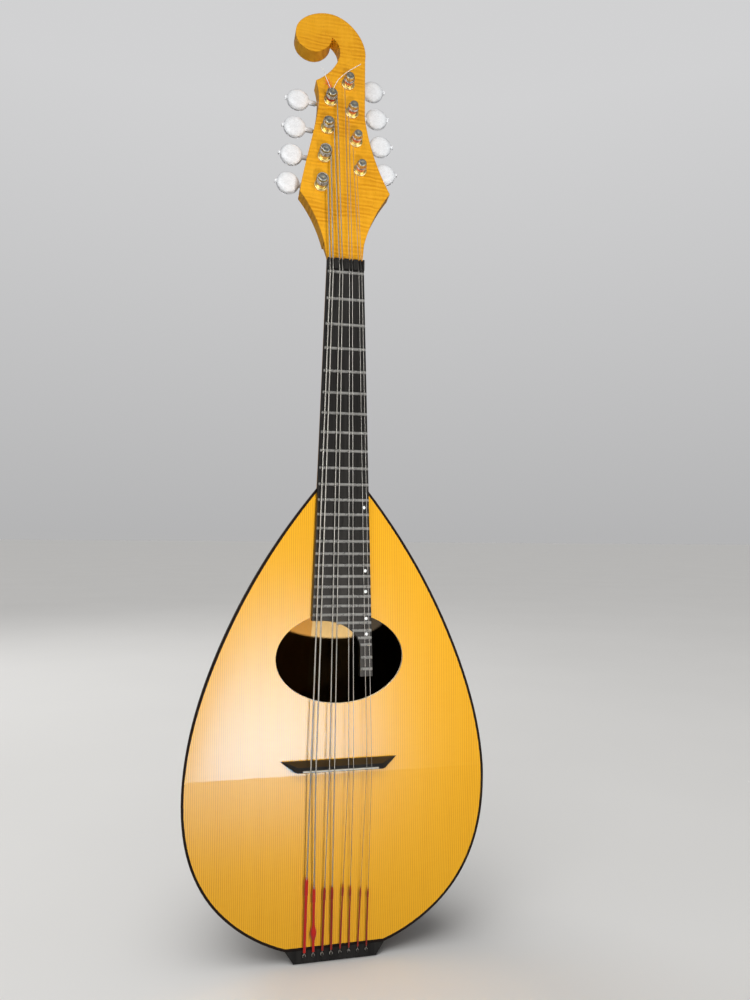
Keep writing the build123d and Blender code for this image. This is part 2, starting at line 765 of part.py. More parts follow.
# ---------------------------------------------------------------- tuning machines
def worm_thread(tuner):
    """Screw thread and its core: one cross-section twisted along the shaft."""
    lead = 2 * math.pi * GEAR_PITCH_RADIUS / GEAR_TEETH
    root = math.radians(360 - WORM_CREST_DEG - 2 * WORM_FLANK_DEG)
    crest = math.radians(WORM_CREST_DEG)
    flank = math.radians(WORM_FLANK_DEG)
    middle = (WORM_ROOT_RADIUS + WORM_TIP_RADIUS) / 2

    def polar(radius, angle):
        return (radius * math.cos(angle), radius * math.sin(angle))

    profile = make_face(
        [
            ThreePointArc(
                polar(WORM_TIP_RADIUS, -crest / 2),
                polar(WORM_TIP_RADIUS, 0),
                polar(WORM_TIP_RADIUS, crest / 2),
            ),
            ThreePointArc(
                polar(WORM_TIP_RADIUS, crest / 2),
                polar(middle, crest / 2 + flank / 2),
                polar(WORM_ROOT_RADIUS, crest / 2 + flank),
            ),
            ThreePointArc(
                polar(WORM_ROOT_RADIUS, crest / 2 + flank),
                polar(WORM_ROOT_RADIUS, crest / 2 + flank + root / 2),
                polar(WORM_ROOT_RADIUS, crest / 2 + flank + root),
            ),
            ThreePointArc(
                polar(WORM_ROOT_RADIUS, -crest / 2 - flank),
                polar(middle, -crest / 2 - flank / 2),
                polar(WORM_TIP_RADIUS, -crest / 2),
            ),
        ]
    )
    length = 2 * WORM_HALF_LENGTH
    twisted = Solid.extrude_linear_with_rotation(
        profile.faces()[0],
        (0, 0, 0),
        (0, 0, length),
        360 * length / lead,
    )
    worm_axis = tuner.direction(1, 0, 0)
    start = tuner.at(-WORM_HALF_LENGTH, WORM_OFFSET, plate_back - WORM_AXIS_HEIGHT)
    return Plane(origin=start, x_dir=tuner.direction(0, -1, 0), z_dir=worm_axis) * twisted


def gear_blank(tuner):
    """Toothed wheel round the post's tenon."""
    points = []
    step = 2 * math.pi / GEAR_TEETH
    quarter = math.pi / 2
    for i in range(GEAR_TEETH):
        middle = quarter + (i + 0.5) * step
        for radius, half in (
            (GEAR_ROOT_RADIUS, -GEAR_ROOT_HALF),
            (GEAR_TIP_RADIUS, -GEAR_TIP_HALF),
            (GEAR_TIP_RADIUS, GEAR_TIP_HALF),
            (GEAR_ROOT_RADIUS, GEAR_ROOT_HALF),
        ):
            angle = middle + math.atan2(half, radius)
            points.append((radius * math.cos(angle), radius * math.sin(angle)))
    middle_height = plate_back - WORM_AXIS_HEIGHT
    low = middle_height - GEAR_THICKNESS / 2
    corners = [tuner.at(x, y, low) for x, y in points]
    wire = Wire.make_polygon(corners, close=True)
    wheel = Solid.extrude(Face(wire), head_normal * GEAR_THICKNESS)
    return wheel - tuner.bar(POST_TENON_RADIUS, low - OVERRUN, middle_height + GEAR_THICKNESS)


def button_solid(tuner):
    """Round flattened button with a collar towards the head and a small nub outside."""
    low = plate_back - WORM_AXIS_HEIGHT
    centre = tuner.at(BUTTON_DISTANCE, WORM_OFFSET, low)
    rim = [(0, BUTTON_HALF_THICKNESS)]
    rim += [(BUTTON_RADIUS * reach, BUTTON_HALF_THICKNESS * height) for reach, height in BUTTON_RIM]
    rim += [(x, -y) for x, y in reversed(rim[:-1])]
    half = make_face(
        [
            Spline(*rim, tangents=[(1, 0), (-1, 0)]),
            Line(rim[-1], rim[0]),
        ]
    )
    disc = revolve(Plane.XZ * half, Axis.Z, 360)
    disc = Plane(origin=centre, x_dir=tuner.direction(1, 0, 0), z_dir=head_normal) * disc
    collar = rod(
        tuner.at(BUTTON_COLLAR_END, WORM_OFFSET, low),
        tuner.at(BUTTON_DISTANCE - BUTTON_RADIUS / 2, WORM_OFFSET, low),
        BUTTON_COLLAR_RADIUS,
    )
    nub = rod(
        tuner.at(BUTTON_DISTANCE + BUTTON_RADIUS / 2, WORM_OFFSET, low),
        tuner.at(BUTTON_DISTANCE + BUTTON_RADIUS + BUTTON_NUB_LENGTH, WORM_OFFSET, low),
        BUTTON_NUB_RADIUS,
    )
    socket = rod(
        tuner.at(BUTTON_COLLAR_END - OVERRUN, WORM_OFFSET, low),
        tuner.at(SHAFT_OUTER_END, WORM_OFFSET, low),
        SHAFT_RADIUS,
    )
    return (disc + collar + nub) - socket


bushings = []
for number, tuner in enumerate(tuners, start=1):
    axis_height = plate_back - WORM_AXIS_HEIGHT
    gear_low = axis_height - GEAR_THICKNESS / 2
    gear_high = axis_height + GEAR_THICKNESS / 2

    post = tuner.bar(POST_RADIUS, POST_NECK_START, POST_TOP)
    post = post + tuner.bar(POST_NECK_RADIUS, gear_high, POST_NECK_START)
    post = post + tuner.bar(POST_TENON_RADIUS, gear_low, gear_high)
    post = post - rod(
        tuner.at(-POST_RADIUS - OVERRUN, 0, STRING_HOLE_HEIGHT),
        tuner.at(POST_RADIUS + OVERRUN, 0, STRING_HOLE_HEIGHT),
        STRING_HOLE_RADIUS,
    )
    post = post - tuner.bar(GEAR_SCREW_HOLE_RADIUS, gear_low, gear_low + GEAR_SCREW_LENGTH)
    coil = tuner.bar(COIL_RADIUS, COIL_LOW, COIL_HIGH)
    coil = coil - tuner.bar(POST_RADIUS + CONTACT_GAP, COIL_LOW - OVERRUN, COIL_HIGH + OVERRUN)
    save(group([post.solids()[0], coil.solids()[0]]), "post_%d" % number)

    gear = gear_blank(tuner)
    screw = tuner.bar(GEAR_SCREW_HEAD_RADIUS, gear_low - GEAR_SCREW_HEAD_HEIGHT, gear_low)
    screw_end = gear_low + GEAR_SCREW_LENGTH - GEAR_SCREW_END_GAP
    screw = screw + tuner.bar(GEAR_SCREW_RADIUS, gear_low, screw_end)
    save(group([gear.solids()[0], screw.solids()[0]]), "gear_%d" % number)

    inner = rod(
        tuner.at(-SHAFT_INNER_END, WORM_OFFSET, axis_height),
        tuner.at(-WORM_HALF_LENGTH, WORM_OFFSET, axis_height),
        SHAFT_RADIUS,
    )
    outer = rod(
        tuner.at(WORM_HALF_LENGTH, WORM_OFFSET, axis_height),
        tuner.at(SHAFT_OUTER_END, WORM_OFFSET, axis_height),
        SHAFT_RADIUS,
    )
    worm = worm_thread(tuner) + inner + outer
    save(worm, "worm_shaft_%d" % number)
    save(button_solid(tuner), "button_%d" % number)
    print("tuner", number, worm.is_valid, len(worm.solids()), gear.is_valid, round(worm.volume, 1))

    bushing = tuner.bar(BUSHING_FLANGE_RADIUS, 0, BUSHING_FLANGE_HEIGHT)
    bushing = bushing + tuner.bar(BUSHING_RADIUS, -BUSHING_DEPTH, 0)
    bore_top = BUSHING_FLANGE_HEIGHT + OVERRUN
    bushing = bushing - tuner.bar(POST_RADIUS + RUNNING_GAP, -BUSHING_DEPTH - OVERRUN, bore_top)
    bushings.append(bushing.solids()[0])
save(group(bushings), "bushings")

for name, row in (("plate_bass", tuners[0:4]), ("plate_treble", tuners[4:8])):
    first = row[0]
    plate = first.box(-PLATE_INNER, PLATE_OUTER, PLATE_LOW, PLATE_HIGH, plate_back, back)
    corners = plate.edges().filter_by(Axis((0, 0, 0), tuple(head_normal)))
    plate = fillet(corners, PLATE_CORNER)
    for tuner in row:
        lug_low = plate_back - LUG_HEIGHT
        for start in (-LUG_START - LUG_THICKNESS, LUG_START):
            plate = plate + tuner.box(
                start, start + LUG_THICKNESS, WORM_OFFSET - LUG_HALF_WIDTH,
                WORM_OFFSET + LUG_HALF_WIDTH, lug_low, plate_back,
            )
        axis_height = plate_back - WORM_AXIS_HEIGHT
        bearing = rod(
            tuner.at(-PLATE_INNER - OVERRUN, WORM_OFFSET, axis_height),
            tuner.at(PLATE_OUTER + OVERRUN, WORM_OFFSET, axis_height),
            SHAFT_RADIUS + RUNNING_GAP,
        )
        plate = plate - bearing
        plate = plate - tuner.bar(POST_NECK_RADIUS + RUNNING_GAP, plate_back - OVERRUN, 0)
    for u in PLATE_SCREW_U:
        plate = plate - first.bar(SCREW_RADIUS, plate_back - OVERRUN, 0, 0, u)
    save(plate.solids()[0], "tuner_" + name)
    print(name, plate.is_valid, len(plate.solids()))

screws = []
for row in (tuners[0], tuners[4]):
    for u in PLATE_SCREW_U:
        head_part = row.bar(
            SCREW_HEAD_RADIUS, plate_back - SCREW_HEAD_HEIGHT, plate_back, 0, u
        )
        shank = row.bar(SCREW_RADIUS, plate_back, back + SCREW_LENGTH, 0, u)
        screws.append((head_part + shank).solids()[0])
save(group(screws), "plate_screws")
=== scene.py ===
import json
import math
import random

import bmesh
import bpy
from mathutils import Matrix, Vector


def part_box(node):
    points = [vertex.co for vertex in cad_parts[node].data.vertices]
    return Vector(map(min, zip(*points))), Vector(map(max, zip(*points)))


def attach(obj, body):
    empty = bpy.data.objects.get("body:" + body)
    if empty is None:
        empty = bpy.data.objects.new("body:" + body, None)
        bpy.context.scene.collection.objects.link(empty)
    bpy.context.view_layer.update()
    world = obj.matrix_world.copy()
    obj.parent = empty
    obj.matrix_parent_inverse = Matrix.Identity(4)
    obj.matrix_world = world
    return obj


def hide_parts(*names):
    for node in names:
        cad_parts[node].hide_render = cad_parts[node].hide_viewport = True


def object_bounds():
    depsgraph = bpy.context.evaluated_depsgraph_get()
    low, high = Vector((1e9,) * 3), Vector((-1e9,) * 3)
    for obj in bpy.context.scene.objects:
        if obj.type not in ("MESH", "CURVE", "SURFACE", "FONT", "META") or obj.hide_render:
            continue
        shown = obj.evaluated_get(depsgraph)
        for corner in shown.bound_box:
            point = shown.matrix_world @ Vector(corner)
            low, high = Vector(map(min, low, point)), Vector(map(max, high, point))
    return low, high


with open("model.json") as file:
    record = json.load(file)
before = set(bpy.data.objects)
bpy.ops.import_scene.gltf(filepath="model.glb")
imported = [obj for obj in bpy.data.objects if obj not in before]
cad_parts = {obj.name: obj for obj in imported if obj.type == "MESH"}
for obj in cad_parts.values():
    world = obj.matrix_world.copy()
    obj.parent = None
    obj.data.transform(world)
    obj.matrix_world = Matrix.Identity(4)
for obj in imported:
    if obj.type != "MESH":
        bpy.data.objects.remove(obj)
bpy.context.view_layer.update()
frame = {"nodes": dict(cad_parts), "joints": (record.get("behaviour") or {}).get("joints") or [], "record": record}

random.seed(7)
scene = bpy.context.scene
scene.view_settings.view_transform = "Standard"
scene.view_settings.look = "None"

MM = 0.001
NODES = frame["nodes"]
SLOT_OF = {s["node"]: s["material_slot"] for s in frame["record"]["subparts"]}
JOINTS = {j["name"]: j for j in frame["joints"]}
MACHINES = range(1, 9)

# Places and directions read from the CAD part.
RIB_COUNT = 15
BOARD_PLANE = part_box("fingerboard")[1].y
BOWL_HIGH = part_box("bowl_ribs")[1]
DEPTH_RATIO = (BOWL_HIGH.y - BOARD_PLANE) / BOWL_HIGH.x
UP = Vector((0, 0, 1))
STRING_NODES = ("strings_g", "strings_d", "strings_a", "strings_e")
HEAD_NORMAL = Vector(JOINTS["post_turn_1"]["axis"]).normalized()
HEAD_LEVEL = Vector(JOINTS["post_turn_1"]["pos_m"]).dot(HEAD_NORMAL)


def islands(node):
    """The separate solids of a CAD node, each as its list of vertex places."""
    bm = bmesh.new()
    bm.from_mesh(NODES[node].data)
    bmesh.ops.remove_doubles(bm, verts=bm.verts, dist=1e-7)
    seen = set()
    found = []
    for start in bm.verts:
        if start in seen:
            continue
        seen.add(start)
        todo = [start]
        group = []
        while todo:
            vert = todo.pop()
            group.append(vert.co.copy())
            for edge in vert.link_edges:
                other = edge.other_vert(vert)
                if other not in seen:
                    seen.add(other)
                    todo.append(other)
        found.append(group)
    bm.free()
    return found


def end_ring(points, direction, top):
    """Middle and radius of the end of a rod-like solid, at its far or near end along a direction."""
    heights = [p.dot(direction) for p in points]
    limit = max(heights) if top else min(heights)
    ring = [p for p, h in zip(points, heights) if abs(h - limit) < 0.1 * MM]
    middle = sum(ring, Vector()) / len(ring)
    return middle, max((p - middle).length for p in ring)


def reach(node, origin, axis):
    """Lowest and highest distance of a CAD node along an axis from an origin."""
    spans = [(v.co - origin).dot(axis) for v in NODES[node].data.vertices]
    return min(spans), max(spans)


# ------------------------------------------------------------------ node materials
class Graph:
    """Small builder for a procedural material; textures use the row frame in metres."""

    def __init__(self, name):
        self.mat = bpy.data.materials.new(name)
        self.mat.use_nodes = True
        self.nodes = self.mat.node_tree.nodes
        self.links = self.mat.node_tree.links
        self.nodes.clear()
        out = self.nodes.new("ShaderNodeOutputMaterial")
        self.bsdf = self.nodes.new("ShaderNodeBsdfPrincipled")
        self.links.new(self.bsdf.outputs[0], out.inputs["Surface"])

    def put(self, socket, value):
        if isinstance(value, bpy.types.NodeSocket):
            self.links.new(value, socket)
        elif isinstance(value, tuple) and len(value) == 3 and socket.type == "RGBA":
            socket.default_value = value + (1.0,)
        else:
            socket.default_value = value

    def set(self, **inputs):
        for name, value in inputs.items():
            self.put(self.bsdf.inputs[name.replace("_", " ")], value)

    def math(self, op, a, b=0.0, clamp=False):
        n = self.nodes.new("ShaderNodeMath")
        n.operation = op
        n.use_clamp = clamp
        self.put(n.inputs[0], a)
        self.put(n.inputs[1], b)
        return n.outputs[0]

    def coords(self, scale=(1, 1, 1)):
        place = self.nodes.new("ShaderNodeTexCoord")
        mapping = self.nodes.new("ShaderNodeMapping")
        mapping.inputs["Scale"].default_value = scale
        self.links.new(place.outputs["Object"], mapping.inputs["Vector"])
        return mapping.outputs[0]

    def xyz(self):
        n = self.nodes.new("ShaderNodeSeparateXYZ")
        self.links.new(self.coords(), n.inputs[0])
        return n.outputs

    def facing(self, axis):
        """One part of the surface's own outward direction."""
        n = self.nodes.new("ShaderNodeSeparateXYZ")
        self.links.new(self.nodes.new("ShaderNodeNewGeometry").outputs["Normal"], n.inputs[0])
        return n.outputs[axis]

    def noise(self, scale, detail=3.0, rough=0.55, distortion=0.0):
        n = self.nodes.new("ShaderNodeTexNoise")
        self.links.new(self.coords(scale), n.inputs["Vector"])
        n.inputs["Scale"].default_value = 1.0
        n.inputs["Detail"].default_value = detail
        n.inputs["Roughness"].default_value = rough
        n.inputs["Distortion"].default_value = distortion
        return n.outputs["Fac"]

    def random_of(self, value):
        n = self.nodes.new("ShaderNodeTexWhiteNoise")
        n.noise_dimensions = "1D"
        self.put(n.inputs["W"], value)
        return n.outputs["Value"]

    def step(self, value, low, high):
        """0 below low, 1 above high, smooth between."""
        n = self.nodes.new("ShaderNodeMapRange")
        n.interpolation_type = "SMOOTHSTEP"
        self.put(n.inputs["Value"], value)
        n.inputs["From Min"].default_value = low
        n.inputs["From Max"].default_value = high
        return n.outputs[0]

    def mix(self, fac, a, b):
        n = self.nodes.new("ShaderNodeMix")
        n.data_type = "RGBA"
        self.put(n.inputs[0], fac)
        self.put(n.inputs[6], a)
        self.put(n.inputs[7], b)
        return n.outputs[2]

    def level(self, fac, low, high):
        """A number between low and high, for roughness."""
        return self.math("ADD", self.math("MULTIPLY", fac, high - low), low)

    def bump(self, height, strength, distance, round_edge=0.0):
        n = self.nodes.new("ShaderNodeBump")
        n.inputs["Strength"].default_value = strength
        n.inputs["Distance"].default_value = distance
        self.put(n.inputs["Height"], height)
        if round_edge:
            edge = self.nodes.new("ShaderNodeBevel")
            edge.samples = 4
            edge.inputs["Radius"].default_value = round_edge
            self.links.new(edge.outputs[0], n.inputs["Normal"])
        return n.outputs[0]

    def bands(self, value, pitch):
        """0 to 1 wave along a distance in metres."""
        wave = self.math("SINE", self.math("MULTIPLY", value, 2 * math.pi / pitch))
        return self.math("MULTIPLY", self.math("ADD", wave, 1.0), 0.5)


SPRUCE_GRAIN = 1.35 * MM
BOARD_BACK_LOW = 1.9 * MM
BOARD_BACK_HIGH = 2.2 * MM
BARE_FROM_Z = 0.128
BARE_FULL_Z = 0.130


def make_spruce():
    """Straight fine-grained spruce under a golden varnish; bare behind and on the edge of the hole, where the edge
    is painted near white as a painted highlight.
    """
    g = Graph("spruce")
    x, y, z = g.xyz()
    wander = g.math("MULTIPLY", g.math("SUBTRACT", g.noise((9, 9, 1.2), 2.0), 0.5), 1.8 * MM)
    drift = g.math("MULTIPLY", g.noise((70, 0.1, 0.3), 1.0), 2.4 * MM)
    line = g.bands(g.math("ADD", g.math("ADD", x, wander), drift), SPRUCE_GRAIN)
    line = g.math("POWER", line, 2.6)
    fibre = g.math("MULTIPLY", g.math("SUBTRACT", g.noise((1100, 1100, 20)), 0.5), 0.45)
    strong = g.level(g.noise((90, 0.1, 0.5), 1.0), 0.35, 1.1)
    line = g.math("MULTIPLY", g.math("ADD", line, fibre), strong, clamp=True)
    silk = g.noise((160, 160, 700), 2.0)
    cloud = g.noise((8, 8, 3))
    base = g.mix(cloud, (0.75, 0.346, 0.004), (0.84, 0.418, 0.010))
    dark = g.mix(cloud, (0.46, 0.178, 0.001), (0.56, 0.235, 0.003))
    colour = g.mix(g.math("MULTIPLY", line, 0.88), base, dark)
    colour = g.mix(g.math("MULTIPLY", silk, 0.10), colour, (0.93, 0.56, 0.06))
    inside = g.step(y, BOARD_PLANE + BOARD_BACK_LOW, BOARD_PLANE + BOARD_BACK_HIGH)
    above = g.step(z, BARE_FROM_Z, BARE_FULL_Z)
    bare = g.math("MULTIPLY", inside, above)
    colour = g.mix(bare, colour, (0.80, 0.62, 0.36))
    # Painted highlight: the sideways faces above the crease, the edge of the hole among them, are painted near
    # white as a lit edge.
    wall = g.math("LESS_THAN", g.math("ABSOLUTE", g.facing(1)), 0.5)
    colour = g.mix(g.math("MULTIPLY", wall, above), colour, (0.95, 0.86, 0.66))
    g.set(Base_Color=colour, Roughness=g.level(fibre, 0.40, 0.5), Specular_IOR_Level=0.1)
    g.set(Coat_Weight=g.math("SUBTRACT", 1.0, bare), Coat_Roughness=g.level(cloud, 0.16, 0.26))
    g.set(Normal=g.bump(line, 0.10, 0.05 * MM))
    return g.mat


FLAME_PITCH = 3.3 * MM
FINE_FLAME_PITCH = 2.3 * MM
FLAME_WANDER = 6 * MM


def make_maple():
    """Honey-varnished maple, curled across the neck."""
    g = Graph("flamed_maple")
    x, y, z = g.xyz()
    warp = g.math("MULTIPLY", g.math("SUBTRACT", g.noise((34, 34, 42), 3.0), 0.5), FLAME_WANDER)
    lean = g.math("MULTIPLY", x, 0.03)
    flame = g.bands(g.math("ADD", g.math("ADD", z, warp), lean), FLAME_PITCH)
    fine = g.math("ADD", g.math("ADD", g.math("MULTIPLY", warp, 1.6), z), lean)
    fine = g.bands(fine, FINE_FLAME_PITCH)
    flame = g.math("ADD", g.math("MULTIPLY", flame, 0.65), g.math("MULTIPLY", fine, 0.35))
    patchy = g.step(g.noise((45, 45, 60), 2.0), 0.38, 0.62)
    flame = g.math("MULTIPLY", flame, g.level(patchy, 0.30, 1.0))
    broad = g.noise((20, 20, 60), 2.0)
    fibre = g.noise((520, 520, 14))
    pores = g.step(g.noise((2600, 2600, 120), 2.0), 0.58, 0.75)
    light = g.mix(fibre, (0.84, 0.390, 0.010), (0.96, 0.480, 0.030))
    dark = g.mix(fibre, (0.48, 0.165, 0.001), (0.62, 0.240, 0.002))
    colour = g.mix(g.math("MULTIPLY", flame, 0.80), light, dark)
    colour = g.mix(g.math("MULTIPLY", broad, 0.35), colour, (0.60, 0.235, 0.004))
    colour = g.mix(g.math("MULTIPLY", pores, 0.35), colour, (0.30, 0.10, 0.008))
    g.set(Base_Color=colour, Roughness=g.level(flame, 0.34, 0.46), Specular_IOR_Level=0.1)
    g.set(Coat_Weight=0.6, Coat_Roughness=g.level(patchy, 0.10, 0.20))
    g.set(Normal=g.bump(g.math("ADD", flame, pores), 0.08, 0.1 * MM, 0.9 * MM))
    return g.mat


def make_ebony(name, dark, light, rough, edge):
    """Near-black wood with long grey pores."""
    g = Graph(name)
    fibre = g.noise((900, 900, 14), 4.0)
    broad = g.noise((170, 170, 3.5), 2.0)
    pores = g.step(g.noise((2200, 2200, 45), 2.0), 0.55, 0.7)
    fac = g.math("MULTIPLY", g.math("MULTIPLY", fibre, broad), 3.2, clamp=True)
    colour = g.mix(fac, dark, light)
    colour = g.mix(g.math("MULTIPLY", pores, 0.6), colour, tuple(c * 0.4 for c in dark))
    g.set(Base_Color=colour, Roughness=g.level(fibre, rough * 0.8, rough * 1.3))
    g.set(Specular_IOR_Level=0.34)
    g.set(Normal=g.bump(g.math("SUBTRACT", fibre, pores), 0.25, 0.06 * MM, edge))
    return g.mat


SEAM_INNER = 0.25 * MM
SEAM_OUTER = 0.40 * MM
# Inside, the wood is warmer to the bass side of the first place and unlit beyond the second.
PATCH_MIDDLE = -4.5 * MM
PATCH_RIGHT = 29 * MM


def make_bowl():
    """Dark polished staves with a thin pale line at each joint; bare wood on the inside, with painted shade where
    it lies past the lit patch.
    """
    g = Graph("rosewood")
    x, y, z = g.xyz()
    deep = g.math("MULTIPLY", g.math("SUBTRACT", y, BOARD_PLANE), 1 / DEPTH_RATIO)
    turn = g.math("MULTIPLY", g.math("ARCTAN2", deep, x), RIB_COUNT / math.pi)
    stave = g.math("FLOOR", turn)
    part = g.math("SUBTRACT", turn, stave)
    near = g.math("MINIMUM", part, g.math("SUBTRACT", 1.0, part))
    across = g.math("SQRT", g.math("ADD", g.math("MULTIPLY", x, x), g.math("MULTIPLY", deep, deep)))
    gap = g.math("MULTIPLY", g.math("MULTIPLY", near, across), math.pi / RIB_COUNT)
    seam = g.math("SUBTRACT", 1.0, g.step(gap, SEAM_INNER, SEAM_OUTER))
    tint = g.random_of(stave)
    shift = g.math("MULTIPLY", tint, 3.0)
    mapping = g.nodes.new("ShaderNodeCombineXYZ")
    for socket, value, size in zip(mapping.inputs, (x, y, z), (55, 55, 6)):
        g.put(socket, g.math("ADD", g.math("MULTIPLY", value, size), shift))
    streak = g.nodes.new("ShaderNodeTexNoise")
    g.links.new(mapping.outputs[0], streak.inputs["Vector"])
    streak.inputs["Scale"].default_value = 1.0
    streak.inputs["Detail"].default_value = 5.0
    streak.inputs["Distortion"].default_value = 1.4
    streak = g.step(streak.outputs["Fac"], 0.32, 0.70)
    pores = g.step(g.noise((1700, 1700, 45), 2.0), 0.56, 0.7)
    colour = g.mix(streak, (0.026, 0.009, 0.006), (0.125, 0.045, 0.020))
    colour = g.mix(g.math("MULTIPLY", tint, 0.35), colour, (0.060, 0.020, 0.011))
    colour = g.mix(g.math("MULTIPLY", pores, 0.55), colour, (0.012, 0.005, 0.004))
    colour = g.mix(seam, colour, (0.62, 0.42, 0.17))
    outwards = g.math("ADD", g.math("MULTIPLY", g.facing(0), x), g.math("MULTIPLY", g.facing(1), deep))
    inner = g.math("LESS_THAN", outwards, 0.0)
    orange = g.math("LESS_THAN", x, PATCH_MIDDLE)
    bare = g.mix(orange, (0.0080, 0.0052, 0.0021), (0.0060, 0.0025, 0.00035))
    bare = g.mix(g.math("MULTIPLY", g.noise((420, 420, 12)), 0.5), bare, (0.0045, 0.0029, 0.0011))
    # Painted shade: the inside past PATCH_RIGHT is painted near black, as unlit wood.
    bare = g.mix(g.math("GREATER_THAN", x, PATCH_RIGHT), bare, (0.0008, 0.0006, 0.0004))
    g.set(Base_Color=g.mix(inner, colour, bare), IOR=1.5)
    g.set(Specular_IOR_Level=g.math("MULTIPLY", g.math("SUBTRACT", 1.0, inner), 0.5))
    g.set(Roughness=g.math("ADD", g.level(streak, 0.30, 0.42), g.math("MULTIPLY", inner, 0.35)))
    g.set(Coat_Weight=g.math("SUBTRACT", 1.0, inner), Coat_Roughness=0.09)
    g.set(Normal=g.bump(g.math("SUBTRACT", 0.0, g.math("ADD", seam, pores)), 0.12, 0.1 * MM))
    return g.mat


def make_pale_wood():
    g = Graph("block_wood")
    fibre = g.noise((260, 260, 14))
    g.set(Base_Color=g.mix(fibre, (0.60, 0.40, 0.19), (0.80, 0.60, 0.34)), Roughness=0.75)
    g.set(Normal=g.bump(fibre, 0.3, 0.1 * MM))
    return g.mat


POST_GREY_TOP_LOW = 9.6 * MM
POST_GREY_TOP_HIGH = 10.1 * MM


def make_metal(name, bright, dull, rough, wear=260, tops=None, edge=0.15 * MM, metallic=1.0):
    """Polished metal, slightly smeared; tops is a greyer colour for the ends of the posts."""
    g = Graph(name)
    grain = g.noise((1500, 1500, 1500), 2.0)
    smear = g.noise((wear, wear, wear))
    colour = g.mix(g.step(smear, 0.35, 0.7), dull, bright)
    roughness = g.level(smear, rough * 0.7, rough * 1.5)
    if tops:
        place = g.nodes.new("ShaderNodeVectorMath")
        place.operation = "DOT_PRODUCT"
        g.links.new(g.coords(), place.inputs[0])
        place.inputs[1].default_value = HEAD_NORMAL
        height = g.math("SUBTRACT", place.outputs["Value"], HEAD_LEVEL)
        # The flat ends of the posts are coloured a darker, rougher grey.
        grey_top = g.step(height, POST_GREY_TOP_LOW, POST_GREY_TOP_HIGH)
        colour = g.mix(grey_top, colour, tops)
        roughness = g.math("ADD", roughness, g.math("MULTIPLY", grey_top, 0.10))
    g.set(Base_Color=colour, Metallic=metallic, Roughness=roughness)
    g.set(Normal=g.bump(grain, 0.03, 0.01 * MM, edge))
    return g.mat


WINDING_PITCH = 0.22 * MM


def make_wound():
    """Round-wound string: fine turns square to the string."""
    g = Graph("wound_string")
    turns = g.bands(g.xyz()[2], WINDING_PITCH)
    tarnish = g.noise((90, 90, 60), 2.0)
    colour = g.mix(tarnish, (0.26, 0.245, 0.215), (0.46, 0.44, 0.40))
    g.set(Base_Color=colour, Metallic=0.85)
    g.set(Roughness=g.level(tarnish, 0.28, 0.42), Normal=g.bump(turns, 0.6, 0.06 * MM))
    return g.mat


def make_pearl(name, low, high, scale, rough):
    """Milky shell or plastic with a soft swirl."""
    g = Graph(name)
    swirl = g.noise((scale, scale, scale * 1.6), 4.0, 0.6, 1.6)
    fine = g.noise((scale * 4, scale * 4, scale * 4), 2.0)
    g.set(Base_Color=g.mix(g.step(swirl, 0.35, 0.65), low, high), IOR=1.5)
    g.set(Roughness=g.level(fine, rough * 0.8, rough * 1.3), Coat_Weight=0.5, Coat_Roughness=0.08)
    g.set(Normal=g.bump(fine, 0.04, 0.05 * MM))
    return g.mat


def make_silk(name, dark, light):
    g = Graph(name)
    twist = g.noise((2500, 2500, 2500), 2.0)
    patchy = g.noise((40, 40, 40), 2.0)
    colour = g.mix(g.math("MULTIPLY", twist, g.level(patchy, 0.6, 1.4)), dark, light)
    g.set(Base_Color=colour, Roughness=0.62, Sheen_Weight=0.25, Sheen_Roughness=0.4)
    g.set(Normal=g.bump(twist, 0.5, 0.1 * MM))
    return g.mat


BRASS = ((0.92, 0.80, 0.44), (0.76, 0.62, 0.27))
MATERIALS = {
    "spruce": make_spruce(),
    "flamed_maple": make_maple(),
    "ebony": make_ebony(
        "ebony", (0.0045, 0.0042, 0.0042), (0.023, 0.0215, 0.020), 0.34, 0.35 * MM
    ),
    "dark_binding": make_ebony(
        "dark_binding", (0.010, 0.006, 0.005), (0.018, 0.011, 0.008), 0.30, 0.5 * MM
    ),
    "rosewood": make_bowl(),
    "block_wood": make_pale_wood(),
    "nickel_silver": make_metal(
        "nickel_silver", (0.60, 0.585, 0.55), (0.48, 0.47, 0.44), 0.26, metallic=0.65
    ),
    "gilt_brass": make_metal("gilt_brass", *BRASS, 0.27, tops=(0.30, 0.30, 0.27), metallic=0.8),
    "wound_string": make_wound(),
    "plain_string": make_metal(
        "plain_string", (0.46, 0.44, 0.41), (0.36, 0.34, 0.31), 0.30, wear=60, edge=0.0,
        metallic=0.85,
    ),
    "pearl": make_pearl("pearl", (0.70, 0.74, 0.72), (0.92, 0.92, 0.90), 900, 0.18),
    "pearloid": make_pearl("pearloid", (0.78, 0.79, 0.80), (0.90, 0.915, 0.93), 420, 0.26),
    "red_silk": make_silk("red_silk", (0.14, 0.008, 0.004), (0.42, 0.022, 0.010)),
}
BRIGHT_WIRE = make_metal(
    "bright_wire", (0.95, 0.93, 0.88), (0.85, 0.82, 0.76), 0.45, edge=0.0, metallic=0.1
)
BRIGHT_SILK = make_silk("bright_silk", (0.30, 0.006, 0.004), (0.62, 0.018, 0.010))
ORANGE_SILK = make_silk("orange_silk", (0.75, 0.10, 0.015), (0.95, 0.26, 0.05))
SADDLE_WIRE = make_metal("saddle_wire", (0.66, 0.62, 0.53), (0.55, 0.52, 0.44), 0.35, metallic=0.2)
DARK_PIN = make_metal("dark_pin", (0.06, 0.055, 0.05), (0.03, 0.028, 0.025), 0.35, metallic=0.4)
OWN_MATERIAL = {"saddle": SADDLE_WIRE, "tail_pins": DARK_PIN}
for node, obj in NODES.items():
    obj.data.materials.clear()
    obj.data.materials.append(OWN_MATERIAL.get(node, MATERIALS[SLOT_OF[node]]))


